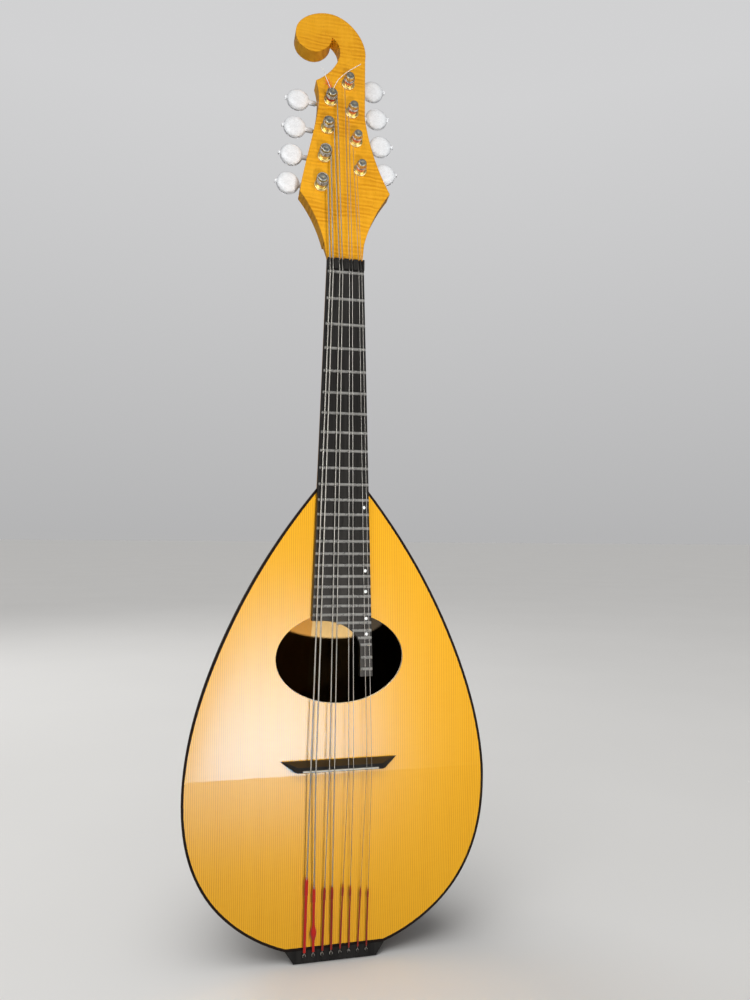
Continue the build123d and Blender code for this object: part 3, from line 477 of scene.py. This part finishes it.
# ------------------------------------------------------------------ mesh building
def crosswise(direction):
    """Two unit vectors square to a direction and to each other."""
    side = Vector((1, 0, 0)) if abs(direction.x) < 0.9 else Vector((0, 1, 0))
    first = direction.cross(side).normalized()
    return first, direction.cross(first).normalized()


class Shape:
    """Collects rings of vertices into one mesh piece."""

    def __init__(self):
        self.verts = []
        self.faces = []
        self.slots = []

    def skin(self, rings, slot=0, closed=False):
        """Faces between following rings of the same length; open runs get flat ends."""
        count = len(rings[0])
        first = len(self.verts)
        for ring in rings:
            self.verts.extend(ring)
        spans = len(rings) if closed else len(rings) - 1
        for i in range(spans):
            a = first + i * count
            b = first + (i + 1) % len(rings) * count
            for k in range(count):
                m = (k + 1) % count
                self.faces.append((a + k, a + m, b + m, b + k))
                self.slots.append(slot)
        if not closed:
            last = first + (len(rings) - 1) * count
            self.faces.append(tuple(range(first + count - 1, first - 1, -1)))
            self.faces.append(tuple(range(last, last + count)))
            self.slots += [slot, slot]

    def tube(self, points, radii, segments=10, slot=0, closed=False):
        """Round tube along points; radii is one radius or one for each point."""
        if not isinstance(radii, list):
            radii = [radii] * len(points)
        rings = []
        side = None
        last = len(points) - 1
        for i, point in enumerate(points):
            before = points[i - 1] if closed or i else point
            after = points[(i + 1) % len(points)] if closed or i < last else point
            along = (after - before).normalized()
            if side is None:
                side = crosswise(along)[0]
            side = (side - along * side.dot(along)).normalized()
            other = along.cross(side)
            turn = [2 * math.pi * k / segments for k in range(segments)]
            rings.append(
                [point + radii[i] * (math.cos(t) * side + math.sin(t) * other) for t in turn]
            )
        self.skin(rings, slot, closed)

    def lathe(self, profile, origin, axis, segments=40, slot=0):
        """Profile of (radius, height) turned about an axis from an origin."""
        side, other = crosswise(axis)
        rings = []
        for radius, height in profile:
            middle = origin + axis * height
            turn = [2 * math.pi * k / segments for k in range(segments)]
            rings.append(
                [middle + radius * (math.cos(t) * side + math.sin(t) * other) for t in turn]
            )
        self.skin(rings, slot)

    def piece(self, name, body, slot_name, nodes=(), materials=None, sharp_deg=38):
        mesh = bpy.data.meshes.new(name)
        mesh.from_pydata(self.verts, [], self.faces)
        for polygon, slot in zip(mesh.polygons, self.slots):
            polygon.material_index = slot
        bm = bmesh.new()
        bm.from_mesh(mesh)
        bmesh.ops.recalc_face_normals(bm, faces=bm.faces)
        for face in bm.faces:
            face.smooth = True
        for edge in bm.edges:
            edge.smooth = edge.calc_face_angle(0) < math.radians(sharp_deg)
        bm.to_mesh(mesh)
        bm.free()
        for material in materials or [MATERIALS[slot_name]]:
            mesh.materials.append(material)
        obj = bpy.data.objects.new(name, mesh)
        scene.collection.objects.link(obj)
        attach(obj, body)
        if nodes:
            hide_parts(*nodes)
        return obj


def rounded(radius, low, high, edge, steps=4):
    """Profile of a turned disc with its upper edge rounded."""
    points = [(radius, low)]
    for i in range(steps + 1):
        turn = math.pi / 2 * i / steps
        points.append(
            (radius - edge * (1 - math.cos(turn)), high - edge * (1 - math.sin(turn)))
        )
    return points


# ------------------------------------------------------------------ silk over the string ends
SILK_RIDGE_PITCH = 0.9 * MM
SILK_RIDGE = 0.05 * MM
SILK_STEPS_PER_RIDGE = 4
SILK_SEGMENTS = 12
SILK_TAPER = 3 * MM
SILK_TIP_SHARE = 0.62
SILK_LOOSE_LENGTH = 4 * MM
SILK_LOOSER = 1.3
# How much further up its string each silk reaches than the plain sleeve, bass side first.
SILK_LONGER = [length * MM for length in (8.5, 7.0, 5.0, 5.0, 4.0, 3.0, 2.0, 2.0)]
BRIGHT_SLEEVES = 2
SPINDLE_SLEEVE = 1
SPINDLE_HALF = 6.5 * MM
SADDLE_REACH = 2 * MM
STRAND_COUNT = 5
STRAND_RADII = [0.09 * MM, 0.07 * MM, 0.03 * MM]
STRAND_START = 1.0 * MM
STRAND_AWAY = 0.25 * MM
STRAND_LENGTH = 1.6
STRAND_SPREAD = 1.6

saddle_low, saddle_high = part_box("saddle")
saddle_z = (saddle_low.z + saddle_high.z) / 2
over_saddle = []
for node in STRING_NODES:
    for points in islands(node):
        near = [p for p in points if abs(p.z - saddle_z) < SADDLE_REACH]
        over_saddle.append(sum(near, Vector()) / len(near))
over_saddle.sort(key=lambda p: p.x)


def spindle_of(points, foot, axis):
    """Place along the sleeve and radius of the thickest part."""
    widest = {}
    for p in points:
        along = (p - foot).dot(axis)
        key = round(along / MM)
        off = (p - foot) - axis * along
        widest[key] = max(widest.get(key, 0.0), off.length)
    middle = max(widest, key=lambda k: widest[k]) * MM
    return middle, max(widest.values())


sleeves = sorted(islands("silk_sleeves"), key=lambda points: end_ring(points, UP, False)[0].x)
silk = Shape()
for number, points in enumerate(sleeves):
    foot, foot_radius = end_ring(points, UP, False)
    plain_tip = end_ring(points, UP, True)[0]
    axis = (plain_tip - foot).normalized()
    plain_length = (plain_tip - foot).length
    onwards = (over_saddle[number] - plain_tip).normalized()
    tip = plain_tip + onwards * SILK_LONGER[number]
    length = plain_length + SILK_LONGER[number]
    spindle_middle, spindle_radius = spindle_of(points, foot, axis)
    count = int(length / SILK_RIDGE_PITCH * SILK_STEPS_PER_RIDGE)
    path = []
    radii = []
    for i in range(count + 1):
        along = length * i / count
        radius = foot_radius
        spread = abs(along - spindle_middle) / SPINDLE_HALF
        if number == SPINDLE_SLEEVE and spread < 1:
            swell = (1 + math.cos(math.pi * spread)) / 2
            radius += (spindle_radius - foot_radius) * swell
        taper = min(1.0, (length - along) / SILK_TAPER)
        radius = radius * (SILK_TIP_SHARE + (1 - SILK_TIP_SHARE) * taper)
        if along > plain_length - SILK_LOOSE_LENGTH:
            radius = radius * SILK_LOOSER
        radius += SILK_RIDGE * math.cos(2 * math.pi * i / SILK_STEPS_PER_RIDGE)
        if along < plain_length:
            path.append(foot + axis * along)
        else:
            path.append(plain_tip + onwards * (along - plain_length))
        radii.append(radius)
    bright = 1 if number < BRIGHT_SLEEVES else 0
    silk.tube(path, radii, SILK_SEGMENTS, slot=bright)
    side, other = crosswise(axis)
    for k in range(STRAND_COUNT):
        turn = 2 * math.pi * (k + random.random()) / STRAND_COUNT
        away = math.cos(turn) * side + math.sin(turn) * other
        start = tip + away * (0.4 * foot_radius) - axis * STRAND_START
        reached = axis * (STRAND_LENGTH + STRAND_SPREAD * random.random()) * MM + away * STRAND_AWAY
        silk.tube([start, start + reached * 0.5, start + reached], STRAND_RADII, 6, bright)
silk.piece(
    "silk_windings", "instrument", "red_silk", ["silk_sleeves"],
    [MATERIALS["red_silk"], BRIGHT_SILK],
)

# ------------------------------------------------------------------ string posts with their turns
POST_RADIUS = 3.0 * MM
SHANK_RADIUS = 2.4 * MM
SHANK_TOP = -10.5 * MM
SHANK_STEP = 0.1 * MM
DRUM_LOW = 4.4 * MM
DRUM_HIGH = 7.9 * MM
WAIST_RADIUS = 2.7 * MM
WAIST_SLOPE = 0.5 * MM
POST_ROUNDING = 0.7 * MM
# A shallow dish in the end of the post: radius, and depth below the top.
POST_DISH = [(1.5 * MM, 0.05 * MM), (0.5 * MM, 0.3 * MM), (0.05 * MM, 0.35 * MM)]
NEAR_POST = 4.6 * MM
UNDER_WIRE = 0.3 * MM
STEPS_PER_TURN = 36
LAPS = 3
LAP_RISE = 2.2
LAP_TIGHTENING = 0.2 * MM
LAP_WIRE_SHARE = 0.98
# Where the last lap dives into the hole: turn in radians, distance inwards and height added.
LAP_END = [(0.35, 0.9 * MM, 0.15 * MM), (0.9, 2.2 * MM, 0.1 * MM)]
SILK_ON_POST = {4: BRIGHT_SILK, 5: ORANGE_SILK, 6: ORANGE_SILK, 7: ORANGE_SILK, 8: ORANGE_SILK}
SILK_LOW = 3.3 * MM
SILK_HIGH = 5.0 * MM
SILK_TURNS = 3


def place_of(number):
    """Origin of the joint of one string post."""
    return Vector(JOINTS["post_turn_%d" % number]["pos_m"])


ends = {}
for node in STRING_NODES:
    for points in islands(node):
        top = end_ring(points, UP, True)[0]
        nearest = min(MACHINES, key=lambda n: (top - place_of(n)).cross(HEAD_NORMAL).length)
        ends[nearest] = (points, SLOT_OF[node])

for number in MACHINES:
    origin = place_of(number)
    axis = Vector(JOINTS["post_turn_%d" % number]["axis"]).normalized()
    outwards = Vector(JOINTS["shaft_turn_%d" % number]["axis"]).normalized()
    across = axis.cross(outwards).normalized()
    low, high = reach("post_%d" % number, origin, axis)
    points, string_slot = ends[number]
    near = [p for p in points if ((p - origin).cross(axis)).length < NEAR_POST]
    ring_middle = sum(near, Vector()) / len(near)
    ring_height = (ring_middle - origin).dot(axis)
    wire = max(abs((p - origin).dot(axis) - ring_height) for p in near)
    ring_radius = (ring_middle - origin).cross(axis).length
    post = Shape()
    profile = [(SHANK_RADIUS, low), (SHANK_RADIUS, SHANK_TOP)]
    profile += [(POST_RADIUS, SHANK_TOP + SHANK_STEP), (POST_RADIUS, DRUM_LOW)]
    profile += [(WAIST_RADIUS, DRUM_LOW + WAIST_SLOPE), (WAIST_RADIUS, DRUM_HIGH - WAIST_SLOPE)]
    profile += rounded(POST_RADIUS, DRUM_HIGH, high, POST_ROUNDING)
    profile += [(distance, high - depth) for distance, depth in POST_DISH]
    post.lathe(profile, origin, axis, 44)
    post.piece(
        "turned_post_%d" % number, "string_post_%d" % number, "gilt_brass", ["post_%d" % number]
    )

    def around(turn, distance, height):
        out = math.cos(turn) * outwards + math.sin(turn) * across
        return origin + out * distance + axis * height

    turns = Shape()
    silk_kind = SILK_ON_POST.get(number)
    if silk_kind:
        under = []
        for i in range(SILK_TURNS * STEPS_PER_TURN + 1):
            share = i / (SILK_TURNS * STEPS_PER_TURN)
            height = SILK_LOW + share * (SILK_HIGH - SILK_LOW)
            turn = 2 * math.pi * i / STEPS_PER_TURN
            under.append(around(turn, POST_RADIUS + 0.1 * MM, height))
        turns.tube(under, UNDER_WIRE, 8, slot=1)
    ring = [
        around(2 * math.pi * i / STEPS_PER_TURN, ring_radius, ring_height)
        for i in range(STEPS_PER_TURN)
    ]
    turns.tube(ring, wire, 10, closed=True)
    climb = []
    rise = LAP_RISE * LAPS * wire
    for i in range(LAPS * STEPS_PER_TURN + 1):
        share = i / (LAPS * STEPS_PER_TURN)
        turn = 2 * math.pi * i / STEPS_PER_TURN
        climb.append(around(turn, ring_radius - share * LAP_TIGHTENING, ring_height + share * rise))
    for turn, inwards, added in LAP_END:
        climb.append(around(turn, ring_radius - inwards, ring_height + rise + added))
    turns.tube(climb, wire * LAP_WIRE_SHARE, 10)
    turns.piece(
        "string_turns_%d" % number, "string_post_%d" % number, string_slot, (),
        [MATERIALS[string_slot], silk_kind or MATERIALS[string_slot]],
    )

# ------------------------------------------------------------------ loose string and silk ends at post 4
LOOSE_POST = 4
LOOSE_WIRE = 0.22 * MM
TUFT_WIRE = 0.2 * MM
SILK_TUFT_COUNT = 12
# Places of the two bent ends: right, up the head and out from its face, in mm from the post's foot.
LONG_END = [
    (0.0, 1.0, 9.2), (1.4, 3.8, 11.0), (4.6, 9.4, 12.0), (11.6, 16.2, 12.7), (20.7, 23.2, 13.0),
]
SHORT_END = [
    (-1.0, 1.2, 9.2), (-3.4, 5.5, 11.2), (-5.6, 10.6, 11.8), (-6.6, 14.5, 11.9), (-8.6, 16.4, 11.6),
]
ACROSS = Vector((1, 0, 0))
UP_HEAD = HEAD_NORMAL.cross(ACROSS)
LOOSE_ORIGIN = place_of(LOOSE_POST)


def above_head(right, up, height):
    return LOOSE_ORIGIN + (right * ACROSS + up * UP_HEAD + height * HEAD_NORMAL) * MM


def eased(points, steps=8):
    """Smooth path through points."""
    path = []
    for i in range(len(points) - 1):
        p0 = points[max(i - 1, 0)]
        p1 = points[i]
        p2 = points[i + 1]
        p3 = points[min(i + 2, len(points) - 1)]
        for k in range(steps):
            t = k / steps
            path.append(
                0.5 * (2 * p1 + (p2 - p0) * t + (2 * p0 - 5 * p1 + 4 * p2 - p3) * t * t
                       + (3 * p1 - p0 - 3 * p2 + p3) * t ** 3)
            )
    return path + [points[-1]]


loose = Shape()
for bends in (LONG_END, SHORT_END):
    path = eased([above_head(*p) for p in bends])
    loose.tube(path, LOOSE_WIRE, 8)
for k in range(SILK_TUFT_COUNT):
    spread = (k + random.random()) / SILK_TUFT_COUNT
    rise = 5.6 + 4.6 * random.random()
    tip = above_head(-6.6 + 5.6 * spread, rise, 9.2 + 2.4 * random.random())
    bend = above_head(-3.4 + 2.8 * spread, 4.6 + random.random(), 8.6 + random.random())
    root = above_head(-2.2 + 1.6 * spread, 2.2, 7.6)
    loose.tube(eased([root, bend, tip], 5), TUFT_WIRE, 6, slot=1)
loose.piece(
    "loose_string_end", "string_post_%d" % LOOSE_POST, "plain_string", (),
    [BRIGHT_WIRE, ORANGE_SILK],
)

# ------------------------------------------------------------------ bushings
FLANGE = 4.9 * MM
FLANGE_TOP = 1.3 * MM
FLANGE_ROUNDING = 0.5 * MM
SHELL = 3.95 * MM
SHELL_FOOT = -6.9 * MM
BORE = 3.06 * MM
# The hollow round the post: radius and height.
COLLAR = [(3.9 * MM, FLANGE_TOP), (3.6 * MM, 1.1 * MM), (BORE, 1.0 * MM), (BORE, SHELL_FOOT)]

bushing = Shape()
for number in MACHINES:
    profile = [(SHELL, SHELL_FOOT), (SHELL, 0.0)]
    profile += rounded(FLANGE, 0.0, FLANGE_TOP, FLANGE_ROUNDING)
    profile += COLLAR
    bushing.lathe(profile, place_of(number), HEAD_NORMAL, 48)
bushing.piece("turned_bushings", "instrument", "gilt_brass", ["bushings"])

# ------------------------------------------------------------------ floor, light and camera
FLOOR_GAP = 0.5 * MM
FLOOR_HALF = 30.0
FLOOR_PAPER = ((0.74, 0.73, 0.71), (0.78, 0.77, 0.75))
floor_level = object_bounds()[0][2] - FLOOR_GAP
floor_mesh = bpy.data.meshes.new("floor")
corners = [(-1, -1), (1, -1), (1, 1), (-1, 1)]
floor_mesh.from_pydata(
    [(FLOOR_HALF * x, FLOOR_HALF * y, floor_level) for x, y in corners], [], [(0, 1, 2, 3)]
)
floor = bpy.data.objects.new("floor", floor_mesh)
scene.collection.objects.link(floor)
g = Graph("floor_paper")
mottle = g.noise((3, 3, 3), 2.0)
g.set(Base_Color=g.mix(mottle, *FLOOR_PAPER), Roughness=0.9)
floor_mesh.materials.append(g.mat)
floor.visible_glossy = False
floor.visible_diffuse = False
floor.visible_shadow = False

# How bright the surroundings are to the camera, to rough surfaces and to polished ones.
BACKDROP_LOW = 0.46
BACKDROP_HIGH = 0.64
AMBIENT = 0.26
REFLECTED = 0.09

world = bpy.data.worlds.new("world")
scene.world = world
world.use_nodes = True


def feed(tree, socket, value):
    """A link where the value is a socket, a plain setting where it is not."""
    if isinstance(value, bpy.types.NodeSocket):
        tree.links.new(value, socket)
    else:
        socket.default_value = value


def grey(level):
    """An even grey, a touch cool."""
    return (level, level, level * 1.01, 1.0)


def choose(tree, factor, a, b):
    """Colour a where the factor is 0 and colour b where it is 1."""
    node = tree.nodes.new("ShaderNodeMix")
    node.data_type = "RGBA"
    feed(tree, node.inputs[0], factor)
    feed(tree, node.inputs[6], a)
    feed(tree, node.inputs[7], b)
    return node.outputs[2]


def join(tree, operation, first, second):
    node = tree.nodes.new("ShaderNodeMath")
    node.operation = operation
    feed(tree, node.inputs[0], first)
    feed(tree, node.inputs[1], second)
    return node.outputs[0]


def fade(tree, value, start, end):
    """1 before start, 0 after end, smooth between."""
    node = tree.nodes.new("ShaderNodeMapRange")
    feed(tree, node.inputs["Value"], value)
    feed(tree, node.inputs["From Min"], start)
    feed(tree, node.inputs["From Max"], end)
    feed(tree, node.inputs["To Min"], 1.0)
    feed(tree, node.inputs["To Max"], 0.0)
    node.interpolation_type = "SMOOTHSTEP"
    return node.outputs[0]


def parts_of(tree, vector):
    node = tree.nodes.new("ShaderNodeSeparateXYZ")
    tree.links.new(vector, node.inputs[0])
    return node.outputs


def paint_world(tree):
    """A pale backdrop for the camera, and two even greys for the light that surfaces gather."""
    sky = tree.nodes.new("ShaderNodeTexCoord").outputs["Generated"]
    rays = tree.nodes.new("ShaderNodeLightPath")
    seen = tree.nodes.new("ShaderNodeValToRGB")
    seen.color_ramp.elements[0].position = 0.0
    seen.color_ramp.elements[0].color = grey(BACKDROP_LOW)
    seen.color_ramp.elements[1].position = 0.5
    seen.color_ramp.elements[1].color = grey(BACKDROP_HIGH)
    tree.links.new(parts_of(tree, sky)[2], seen.inputs[0])
    gathered = choose(tree, rays.outputs["Is Glossy Ray"], grey(AMBIENT), grey(REFLECTED))
    colour = choose(tree, rays.outputs["Is Camera Ray"], gathered, seen.outputs[0])
    background = tree.nodes["Background"]
    tree.links.new(colour, background.inputs[0])
    background.inputs[1].default_value = 1.0


paint_world(world.node_tree)


def lamp(name, kind, position, target, power, **settings):
    data = bpy.data.lights.new(name, kind)
    data.energy = power
    for setting, value in settings.items():
        setattr(data, setting, value)
    obj = bpy.data.objects.new(name, data)
    scene.collection.objects.link(obj)
    obj.location = position
    aim = Vector(target) - Vector(position)
    obj.rotation_euler = aim.to_track_quat("-Z", "Y").to_euler()
    obj.visible_camera = False
    return obj


def only_on(light, group, objects):
    """Lets a light reach only some objects, listed in a collection."""
    receivers = bpy.data.collections.get(group) or bpy.data.collections.new(group)
    for obj in objects:
        if obj.name not in receivers.objects:
            receivers.objects.link(obj)
    light.light_linking.receiver_collection = receivers


SHINY = [MATERIALS[name] for name in ("nickel_silver", "gilt_brass", "wound_string", "plain_string")]
instrument = [obj for obj in scene.objects if obj.type == "MESH" and obj != floor]
bright_metal = [
    obj for obj in instrument
    if obj.data.materials and obj.data.materials[0] in SHINY and "fret" not in obj.name
]

# Key light close in front, a soft fill from the bass side, one for the head and one from behind.
key = lamp("key", "AREA", (0.04, -0.46, 0.23), (0, 0, 0.2), 1.52, size=0.025)
key.visible_glossy = False
only_on(key, "instrument_only", instrument)
lamp("fill", "AREA", (-0.55, -0.85, 0.95), (0, 0, 0.40), 3.2, size=0.7)
head_fill = lamp("head_fill", "AREA", (0.10, -0.58, 0.66), (0, 0, 0.62), 1.42, size=0.16)
head_fill.visible_glossy = False
only_on(head_fill, "instrument_only", instrument)
rear = lamp("rear", "AREA", (-0.9, 1.2, 1.4), (0, 0, 0.3), 10.0, size=1.0)
rear.visible_glossy = False
floor_light = lamp("floor_light", "SUN", (0, 0, 3), (0.4, 0.8, 0), 1.3, angle=math.radians(50))
only_on(floor_light, "stage_only", [floor])

# Tall pale strips that only the bright metal sees, for its highlights.
STRIP_WIDTH = 0.30
STRIP_HEIGHT = 0.8
for name, x, power in (("strip_left", -0.42, 5.0), ("strip_right", 0.34, 3.5)):
    strip = lamp(
        name, "AREA", (x, -0.50, 0.40), (0, 0, 0.45), power,
        shape="RECTANGLE", size=STRIP_WIDTH, size_y=STRIP_HEIGHT,
    )
    strip.visible_diffuse = False
    only_on(strip, "polished", bright_metal)

# A pale panel seen only as a reflection. It is brightest low on the bass side and fades up and
# across; below the floor it goes on faintly, for the part of the board under the crease.
PANEL_DISTANCE = 0.40
PANEL_LEFT = -0.32
PANEL_RIGHT = 0.20
PANEL_TOP = 0.36
PANEL_LOW = -0.26
PANEL_FAINT = 0.22
PANEL_SLANT = 0.26
PANEL_POWER = 5.7
PANEL_MIDDLE = (PANEL_LEFT + PANEL_RIGHT) / 2
PANEL_HEIGHT = (PANEL_LOW + PANEL_TOP) / 2
# Where each fade starts and ends, in metres.
FADE_ACROSS = (0.0, 0.17)
FADE_ACROSS_FAINT = (0.0, 0.20)
FADE_UP = (0.03, 0.27)
FADE_LEFT = (-0.090, -0.118)
FADE_DOWN = (-0.03, -0.17)
BRIGHT_EDGE = 0.0
FAINT_EDGE = -0.01
WHITENING = (0.42, 1.12, 2.0)
NEUTRAL = (1.15, 1.07, 0.98)


def paint_panel(tree):
    place = parts_of(tree, tree.nodes.new("ShaderNodeNewGeometry").outputs["Position"])
    x, z = place[0], place[2]
    upper = join(tree, "MULTIPLY", fade(tree, x, *FADE_ACROSS), fade(tree, z, *FADE_UP))
    upper = join(tree, "MULTIPLY", upper, fade(tree, z, BRIGHT_EDGE, FAINT_EDGE))
    slanted = join(tree, "SUBTRACT", x, join(tree, "MULTIPLY", z, PANEL_SLANT))
    upper = join(tree, "MULTIPLY", upper, fade(tree, slanted, *FADE_LEFT))
    lower = fade(tree, x, *FADE_ACROSS_FAINT)
    lower = join(tree, "MULTIPLY", lower, fade(tree, z, FAINT_EDGE, BRIGHT_EDGE))
    lower = join(tree, "MULTIPLY", lower, fade(tree, z, *FADE_DOWN))
    lower = join(tree, "MULTIPLY", lower, PANEL_FAINT)
    total = join(tree, "ADD", upper, lower)
    tree.links.new(total, tree.nodes["Emission"].inputs["Strength"])


def glare_panel(name, colour, nodes):
    panel = lamp(
        name, "AREA",
        (PANEL_MIDDLE, -PANEL_DISTANCE, PANEL_HEIGHT), (PANEL_MIDDLE, 0, PANEL_HEIGHT),
        PANEL_POWER * (PANEL_TOP - PANEL_LOW) / PANEL_TOP,
        shape="RECTANGLE", size=PANEL_RIGHT - PANEL_LEFT, size_y=PANEL_TOP - PANEL_LOW,
    )
    panel.visible_diffuse = False
    only_on(panel, name + "_only", [NODES[node] for node in nodes])
    panel.data.color = colour
    panel.data.use_nodes = True
    paint_panel(panel.data.node_tree)


glare_panel("panel", WHITENING, ["soundboard"])
glare_panel("neutral_panel", NEUTRAL, ["fingerboard", "position_dots"])

# A broad sheen along the polished staves of the bowl.
for x in (-0.9, 0.7):
    sheen = lamp("bowl_sheen", "AREA", (x, 1.2, 1.2), (0, 0, 0.2), 9.0, size=0.8)
    sheen.visible_diffuse = False
    only_on(sheen, "bowl_only", [NODES["bowl_ribs"]])

# Light thrown from inside on the back of the bowl, just below the fingerboard.
PATCH_LAMP = (0.006, 0.02, 0.10)
PATCH_TARGET = (0.006, 0.0442, 0.1970)
PATCH_CONE_DEG = 38.4
lamp(
    "inside", "SPOT", PATCH_LAMP, PATCH_TARGET, 84.0,
    spot_size=math.radians(PATCH_CONE_DEG), spot_blend=0.04, shadow_soft_size=0.001,
)

CAMERA_POSITION = Vector((-0.0962, -0.54639, 0.2932))
CAMERA_FORWARD = Vector((0.22267, 0.97382, 0.04564)).normalized()
CAMERA_ROLL_DEG = 0.519
CAMERA_LENS = 27.44
CAMERA_SENSOR = 36.0
CAMERA_NEAR = 0.01
camera_data = bpy.data.cameras.new("camera")
camera_data.lens = CAMERA_LENS
camera_data.sensor_width = CAMERA_SENSOR
camera_data.clip_start = CAMERA_NEAR
camera = bpy.data.objects.new("camera", camera_data)
scene.collection.objects.link(camera)
camera_right = CAMERA_FORWARD.cross(UP).normalized()
camera_up = camera_right.cross(CAMERA_FORWARD)
turned = Matrix((camera_right, camera_up, -CAMERA_FORWARD)).transposed().to_4x4()
roll = Matrix.Rotation(math.radians(CAMERA_ROLL_DEG), 4, "Z")
camera.matrix_world = Matrix.Translation(CAMERA_POSITION) @ turned @ roll
scene.camera = camera
